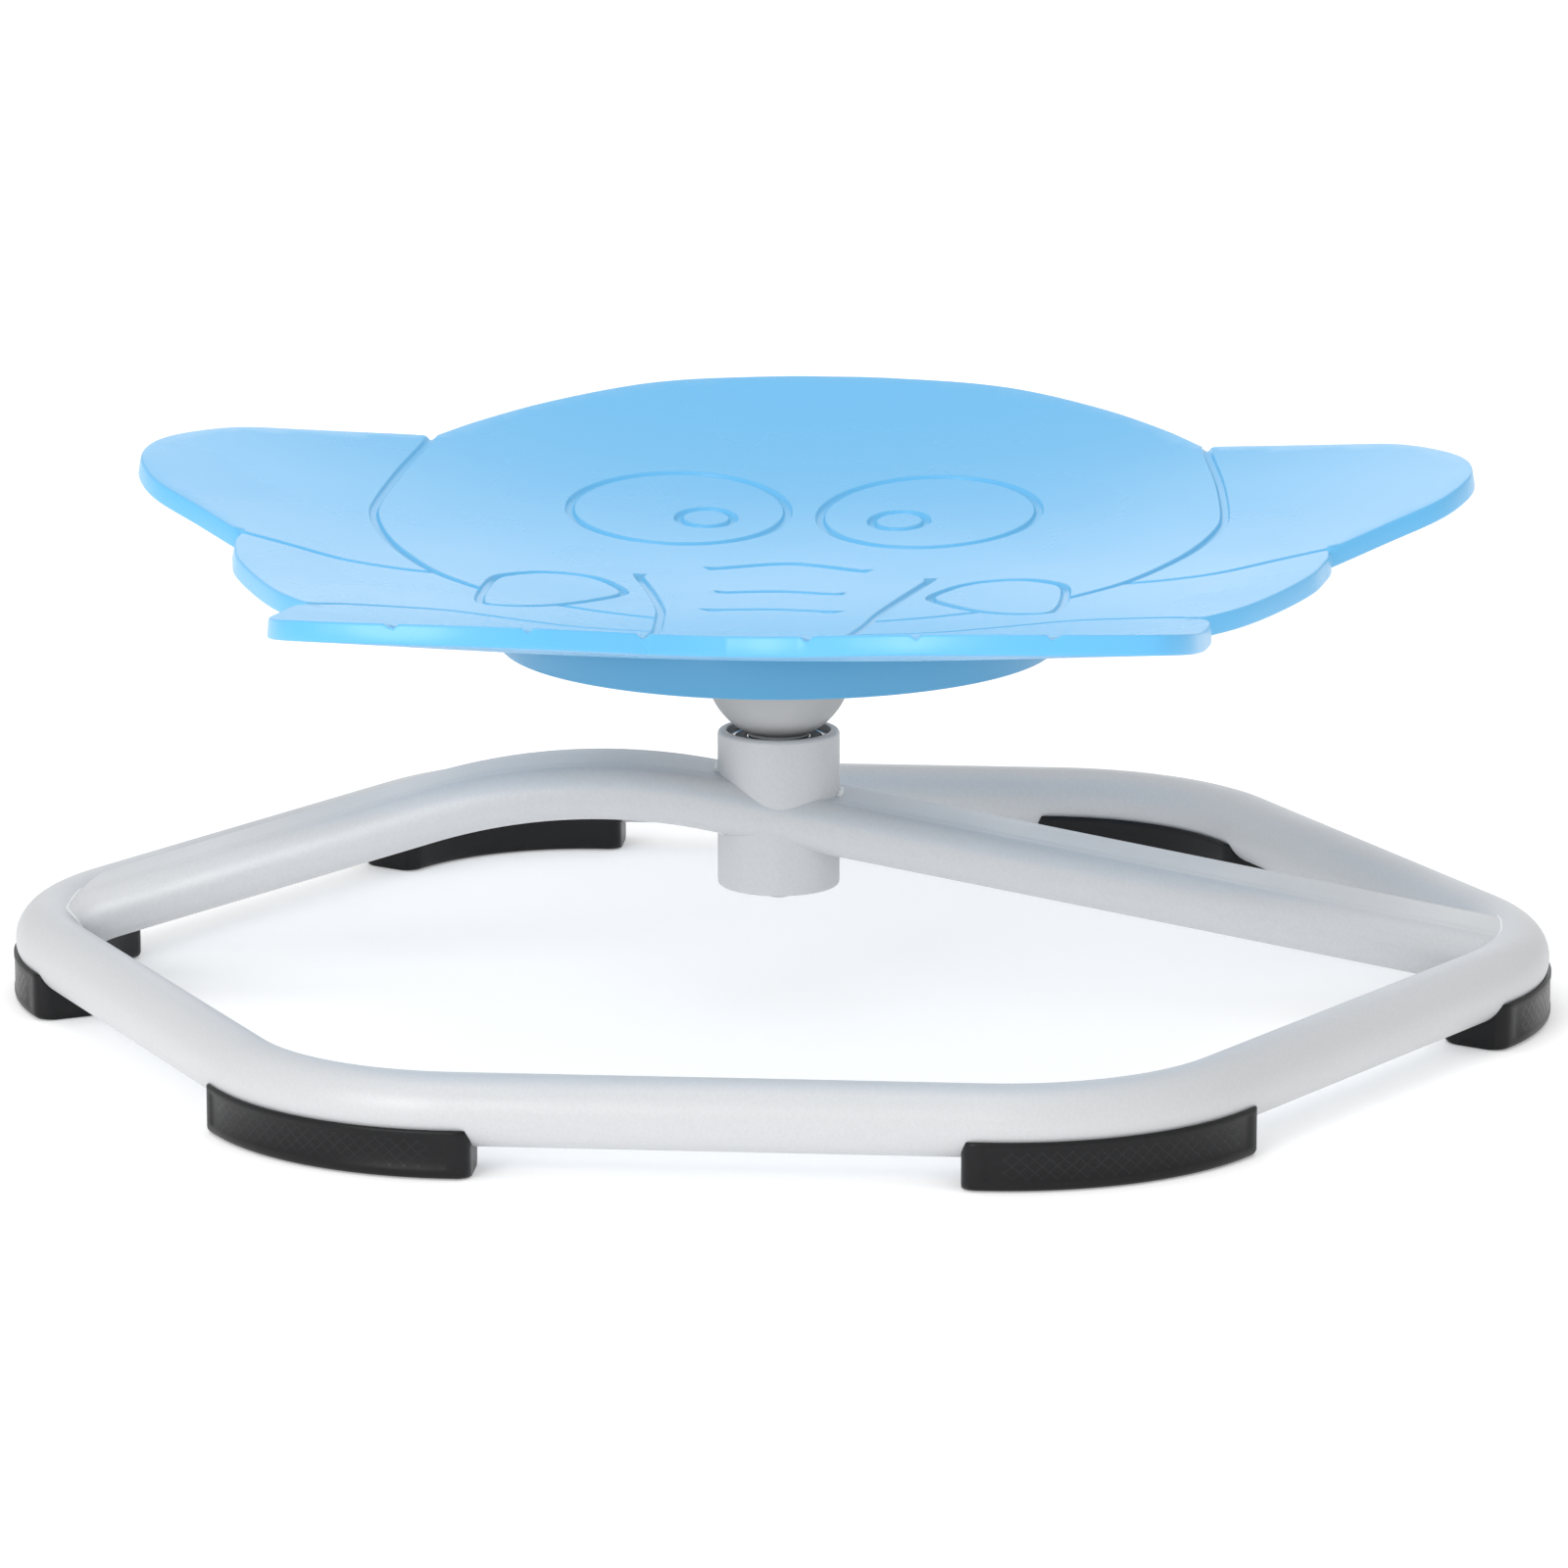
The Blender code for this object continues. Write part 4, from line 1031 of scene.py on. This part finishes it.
class SPINNER_OT_hub(SpinnerOperator, bpy.types.Operator):
    """Bored hub tube"""
    bl_idname = "spinner.hub"
    bl_label = "Hub"

    def execute(self, context):
        bore = HUB_BORE
        step = bore - BEARING_STEP
        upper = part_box("upper_bearing_outer_race")[0].z - AIR
        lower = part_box("lower_bearing_outer_race")[1].z + AIR
        profile = (arc((HUB_RADIUS - 0.0016, HUB_LOW + 0.0016), 0.0016, -90, 0, 5)
                   + arc((HUB_RADIUS - 0.0017, HUB_HIGH - 0.0017), 0.0017, 0, 90, 6)
                   + arc((bore + 0.0005, HUB_HIGH - 0.0005), 0.0005, 90, 180, 3)
                   + [(bore, upper), (step, upper), (step, lower), (bore, lower)]
                   + arc((bore + 0.0005, HUB_LOW + 0.0005), 0.0005, 180, 270, 3))
        hub = mesh_piece("hub_sleeve", turned(profile, 128), finishes()["silver powder coat"])
        settle(hub, "base", ["hub_tube"])
        return {"FINISHED"}


class SPINNER_OT_feet(SpinnerOperator, bpy.types.Operator):
    """Six rubber feet with a framed, hatched panel"""
    bl_idname = "spinner.feet"
    bl_label = "Rubber feet"

    def execute(self, context):
        rubber = finishes()["moulded rubber"]
        depth = context.scene.spinner_base.panel_depth
        for corner, name in enumerate(CORNERS):
            bm = bmesh.new()
            wall = bm.loops.layers.uv.new("wall")
            foot_piece(bm, wall, corner, depth)
            foot = mesh_piece(f"rubber_foot_{name}", bm, rubber)
            settle(foot, "base", [f"foot_{name}"], 50.0)
        return {"FINISHED"}


def screw_part(radius, head_radius, head, length, material):
    """Pan-head screw with a crossed recess, its head's face at the origin, pointing up."""
    profile = [(0.0006, 0.0006), (head_radius * 0.45, 0.0), (head_radius * 0.75, head * 0.10),
               (head_radius * 0.93, head * 0.32), (head_radius, head * 0.62), (head_radius, head),
               (radius, head), (radius, head + length - radius), (radius * 0.35, head + length)]
    bm = loft([circle(r, z, 24) for r, z in profile])
    for face in bm.faces:
        centre = face.calc_center_median()
        if centre.z < head * 0.10 and len(face.verts) == 4:
            angle = math.degrees(math.atan2(centre.y, centre.x)) % 90
            if angle < 14 or angle > 76:
                for vert in face.verts:
                    if vert.co.xy.length < head_radius * 0.5:
                        vert.co.z = 0.0014
    return mesh_piece("screw part", bm, material)


class SPINNER_OT_screws(SpinnerOperator, bpy.types.Operator):
    """Foot screws and seat screws"""
    bl_idname = "spinner.screws"
    bl_label = "Screws"

    def execute(self, context):
        zinc = finishes()["zinc plate"]
        groups = (("foot_screws", "base", [f"foot_screw_{name}" for name in CORNERS], 0.0023),
                  ("board_screws", "seat", [f"board_screw_{i}" for i in range(1, 5)], 0.0022))
        for name, body, nodes, radius in groups:
            boxes = [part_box(node) for node in nodes]
            low, high = boxes[0]
            part = screw_part(radius, (high.x - low.x) / 2, SCREW_HEAD_HEIGHT,
                              high.z - low.z - SCREW_HEAD_HEIGHT, zinc)
            bm = bmesh.new()
            for low, high in boxes:
                bm.verts.new(((low.x + high.x) / 2, (low.y + high.y) / 2, low.z))
            screws = grown(name, bm, scatter_tree(), {"Part": part, "Turn": 0.7}, zinc)
            bpy.data.objects.remove(part)
            settle(screws, body, nodes, 30.0)
        for i in range(1, 5):
            repaint(f"plate_screw_{i}", zinc)
        return {"FINISHED"}


class SPINNER_OT_bearings(SpinnerOperator, bpy.types.Operator):
    """Races and seals of both bearings; the cages and the sleeve keep their frame shape"""
    bl_idname = "spinner.bearings"
    bl_label = "Bearings"

    def execute(self, context):
        made = finishes()
        steel, rubber = made["ground bearing steel"], made["seal rubber"]
        for level in ("upper", "lower"):
            for part, body, material, slot, inner in (
                    ("inner_race", "seat", steel, "bearing_steel", BEARING_BORE),
                    ("outer_race", "base", steel, "bearing_steel", 0.0177),
                    ("top_seal", "base", rubber, "black_rubber", 0.0136),
                    ("bottom_seal", "base", rubber, "black_rubber", 0.0136)):
                node = f"{level}_bearing_{part}"
                low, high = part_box(node)
                outer = (high.x - low.x) / 2
                thin = part.endswith("seal")
                wall = rounded([(inner, low.z), (outer, low.z), (outer, high.z), (inner, high.z)],
                               0.0001 if thin else 0.0006)
                ring = mesh_piece(f"{level}_{part}_ring", turned(wall, 72), material)
                settle(ring, body, [node])
            repaint(f"{level}_bearing_ball_cage", steel)
        repaint("bearing_spacer", made["zinc plate"])
        return {"FINISHED"}


class SPINNER_OT_pivot(SpinnerOperator, bpy.types.Operator):
    """Pivot bolt, washer and lock nut; the seat plate keeps its frame shape"""
    bl_idname = "spinner.pivot"
    bl_label = "Pivot"

    def execute(self, context):
        zinc = finishes()["zinc plate"]
        low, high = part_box("pivot_bolt")
        thread, shank = 0.005, 0.0097
        shank_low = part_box("lower_bearing_inner_race")[0].z + AIR
        head_low = high.z - 0.0033
        profile = [(thread - 0.001, low.z), (thread, low.z + 0.001)]
        z = low.z + 0.001
        while z + 0.0015 < shank_low:
            profile += [(thread, z + 0.0002), (thread - 0.0006, z + 0.0007), (thread, z + 0.0012)]
            z += 0.0015
        head = (high.x - low.x) / 2
        profile += [(thread, shank_low), (shank, shank_low), (shank, head_low), (head, head_low),
                    (head, high.z - 0.001), (head - 0.001, high.z)]
        bolt = mesh_piece("pivot_bolt_turned", turned(profile, 64, hollow=False), zinc)
        settle(bolt, "seat", ["pivot_bolt"])
        low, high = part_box("pivot_washer")
        outer = (high.x - low.x) / 2
        wall = rounded([(THREAD_BORE, low.z), (outer, low.z), (outer, high.z), (THREAD_BORE, high.z)], 0.0004)
        settle(mesh_piece("round_washer", turned(wall, 64), zinc), "seat", ["pivot_washer"])
        self.nut(zinc)
        repaint("seat_plate", zinc)
        return {"FINISHED"}

    @staticmethod
    def nut(zinc):
        """Hexagonal nut with a round locking collar."""
        low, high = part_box("lock_nut")
        flat = (high.x - low.x) / 2
        joint = low.z + 0.003
        count = 72

        def hexagon(z, limit):
            ring = []
            for i in range(count):
                a = 2 * math.pi * i / count
                off = (a + math.pi / 6) % (math.pi / 3) - math.pi / 6
                r = min(limit, flat / math.cos(off))
                ring.append(Vector((r * math.cos(a), r * math.sin(a), z)))
            return ring

        full = flat / math.cos(math.pi / 6)
        rings = [circle(THREAD_BORE, low.z + 0.0004, count), circle(0.0057, low.z, count),
                 circle(0.0064, low.z, count), circle(0.0072, low.z + 0.0008, count),
                 circle(0.0072, joint, count), hexagon(joint, flat * 1.02), hexagon(joint + 0.0008, full),
                 hexagon(high.z - 0.0008, full), hexagon(high.z, flat * 1.02),
                 circle(THREAD_BORE, high.z, count)]
        nut = mesh_piece("lock_nut_turned", loft(rings, wrap=True), zinc)
        settle(nut, "seat", ["lock_nut"], 22.0)


class SPINNER_OT_half_ball(SpinnerOperator, bpy.types.Operator):
    """Half ball between the bearing and the disc"""
    bl_idname = "spinner.half_ball"
    bl_label = "Half ball"

    def execute(self, context):
        foot = 0.0128
        centre = BALL_LOW + 0.0012 + math.sqrt(BALL_RADIUS ** 2 - foot ** 2)
        start = -math.degrees(math.acos(foot / BALL_RADIUS))
        profile = ([(BEARING_BORE, BALL_LOW), (foot - 0.0003, BALL_LOW), (foot, BALL_LOW + 0.0003)]
                   + arc((0.0, centre), BALL_RADIUS, start, 0, 32)
                   + [(BALL_RADIUS, BALL_HIGH - 0.0005), (BALL_RADIUS - 0.0005, BALL_HIGH),
                      (BEARING_BORE, BALL_HIGH)])
        ball = mesh_piece("half_ball", turned(profile, 112), finishes()["grey powder coat"])
        settle(ball, "seat", ["half_ball_collar"])
        return {"FINISHED"}


class SPINNER_OT_disc(SpinnerOperator, bpy.types.Operator):
    """Outer ring of the round disc under the board; its middle is left open"""
    bl_idname = "spinner.disc"
    bl_label = "Disc"

    def execute(self, context):
        board = context.scene.spinner_board
        count = 144
        rings = []
        corner = (DISC_RADIUS - 0.0016, DISC_LOW + 0.0016)
        low = [(DISC_INNER_RADIUS, DISC_LOW)] + arc(corner, 0.0016, -90, 0, 5)
        for radius, height in low:
            rings.append(circle(radius, height, count))
        for radius, drop in ((DISC_RADIUS, 0.0012), (DISC_RADIUS - 0.0003, 0.0004),
                             (DISC_RADIUS - 0.0012, 0.0), (0.100, 0.0), (0.085, 0.0), (0.070, 0.0),
                             (DISC_INNER_RADIUS, 0.0)):
            ring = circle(radius, 0.0, count)
            rings.append([on_dish(p.x, p.y, board.thickness + AIR + drop) for p in ring])
        disc = mesh_piece("seat_disc_rim", loft(rings, wrap=True), finishes()["blue disc plastic"])
        settle(disc, "seat", ["seat_disc"])
        return {"FINISHED"}


class SPINNER_OT_board(SpinnerOperator, bpy.types.Operator):
    """Dished animal-head board with engraved lines"""
    bl_idname = "spinner.board"
    bl_label = "Board"

    def execute(self, context):
        bm, normals = board_mesh(context.scene.spinner_board)
        board = mesh_piece("animal_board", bm, finishes()["blue board plastic"])
        settle(board, "seat", ["seat_board"], 50.0)
        normals += [Vector()] * (len(board.data.vertices) - len(normals))
        board.data.normals_split_custom_set_from_vertices(normals)
        return {"FINISHED"}


class SPINNER_OT_studio(SpinnerOperator, bpy.types.Operator):
    """Pale floor, soft lights and the camera"""
    bl_idname = "spinner.studio"
    bl_label = "Studio"

    def execute(self, context):
        scene = context.scene
        studio = scene.spinner_studio
        world = bpy.data.worlds.new("studio")
        world.use_nodes = True
        n = Nodes(world.node_tree)
        background = world.node_tree.nodes["Background"]
        background.inputs[0].default_value = (1.0, 1.0, 1.0, 1.0)
        seen = n.add("ShaderNodeLightPath").outputs["Is Camera Ray"]
        n.link(n.math("ADD", n.math("MULTIPLY", seen, 1.0 - studio.sky), studio.sky), background.inputs[1])
        scene.world = world
        self.light("key", (-1.5, -3.0, 1.5), 2.0, studio.key_power)
        self.light("fill", (2.4, -2.0, 1.3), 2.2, studio.fill_power)
        self.light("top", (-0.3, -0.4, 3.2), 2.4, studio.top_power)
        self.light("back", (0.0, 4.0, 0.5), 3.2, studio.back_power)
        self.floor()
        self.camera(scene)
        scene.view_settings.view_transform = "Standard"
        scene.view_settings.look = "None"
        return {"FINISHED"}

    @staticmethod
    def light(name, place, size, power):
        data = bpy.data.lights.new(name, "AREA")
        data.shape = "DISK"
        data.size = size
        data.energy = power
        lamp = bpy.data.objects.new(name, data)
        lamp.location = place
        lamp.visible_camera = False
        aim = Vector((0.0, 0.0, 0.1)) - Vector(place)
        lamp.rotation_euler = aim.to_track_quat("-Z", "Y").to_euler()
        bpy.context.scene.collection.objects.link(lamp)

    @staticmethod
    def floor():
        bm = bmesh.new()
        bmesh.ops.create_circle(bm, cap_ends=True, segments=64, radius=14.0)
        bmesh.ops.translate(bm, verts=bm.verts, vec=(0.0, 0.0, -0.0004))
        material = bpy.data.materials.new("pale floor")
        material.use_nodes = True
        shader = material.node_tree.nodes["Principled BSDF"]
        shader.inputs["Base Color"].default_value = (0.93, 0.93, 0.93, 1.0)
        shader.inputs["Roughness"].default_value = 0.85
        shader.inputs["Specular IOR Level"].default_value = 0.1
        shader.inputs["Emission Color"].default_value = (1.0, 1.0, 1.0, 1.0)
        shader.inputs["Emission Strength"].default_value = 0.28
        floor = mesh_piece("floor", bm, material, False)

    @staticmethod
    def camera(scene):
        data = bpy.data.cameras.new("camera")
        data.sensor_width = 36.0
        data.lens = CAMERA_LENS
        data.clip_end = 100.0
        turn, rise = math.radians(CAMERA_TURN), math.radians(CAMERA_RISE)
        back = Vector((math.sin(turn) * math.cos(rise), -math.cos(turn) * math.cos(rise), math.sin(rise)))
        camera = bpy.data.objects.new("camera", data)
        camera.location = Vector(CAMERA_AIM) + back * CAMERA_DISTANCE
        camera.rotation_mode = "QUATERNION"
        camera.rotation_quaternion = (-back).to_track_quat("-Z", "Y")
        scene.collection.objects.link(camera)
        scene.camera = camera


class SPINNER_PT_panel(bpy.types.Panel):
    """Buttons and sizes of the spinning seat"""
    bl_label = "Spinning Seat"
    bl_idname = "SPINNER_PT_panel"
    bl_space_type = "VIEW_3D"
    bl_region_type = "UI"
    bl_category = "Spinning Seat"

    def draw(self, context):
        column = self.layout.column()
        for operator in OPERATORS:
            column.operator(operator.bl_idname)
        for group in (context.scene.spinner_board, context.scene.spinner_base,
                      context.scene.spinner_finish, context.scene.spinner_studio):
            box = column.box()
            for name in group.bl_rna.properties.keys():
                if name not in ("rna_type", "name"):
                    box.prop(group, name)


OPERATORS = (SPINNER_OT_studio, SPINNER_OT_base_ring, SPINNER_OT_cross_beam, SPINNER_OT_hub, SPINNER_OT_feet,
             SPINNER_OT_screws, SPINNER_OT_bearings, SPINNER_OT_pivot, SPINNER_OT_half_ball,
             SPINNER_OT_disc, SPINNER_OT_board)
SETTINGS = {"spinner_board": SpinnerBoardSettings, "spinner_base": SpinnerBaseSettings,
            "spinner_finish": SpinnerFinishSettings, "spinner_studio": SpinnerStudioSettings}


def register():
    for group in SETTINGS.values():
        bpy.utils.register_class(group)
    for operator in OPERATORS:
        bpy.utils.register_class(operator)
    bpy.utils.register_class(SPINNER_PT_panel)
    for name, group in SETTINGS.items():
        setattr(bpy.types.Scene, name, PointerProperty(type=group))


def unregister():
    for name in SETTINGS:
        delattr(bpy.types.Scene, name)
    bpy.utils.unregister_class(SPINNER_PT_panel)
    for operator in reversed(OPERATORS):
        bpy.utils.unregister_class(operator)
    for group in reversed(SETTINGS.values()):
        bpy.utils.unregister_class(group)


def main():
    """Build everything in order."""
    register()
    bpy.ops.spinner.studio()
    bpy.ops.spinner.base_ring()
    bpy.ops.spinner.cross_beam()
    bpy.ops.spinner.hub()
    bpy.ops.spinner.feet()
    bpy.ops.spinner.screws()
    bpy.ops.spinner.bearings()
    bpy.ops.spinner.pivot()
    bpy.ops.spinner.half_ball()
    bpy.ops.spinner.disc()
    bpy.ops.spinner.board()


if __name__ == "__main__":
    main()
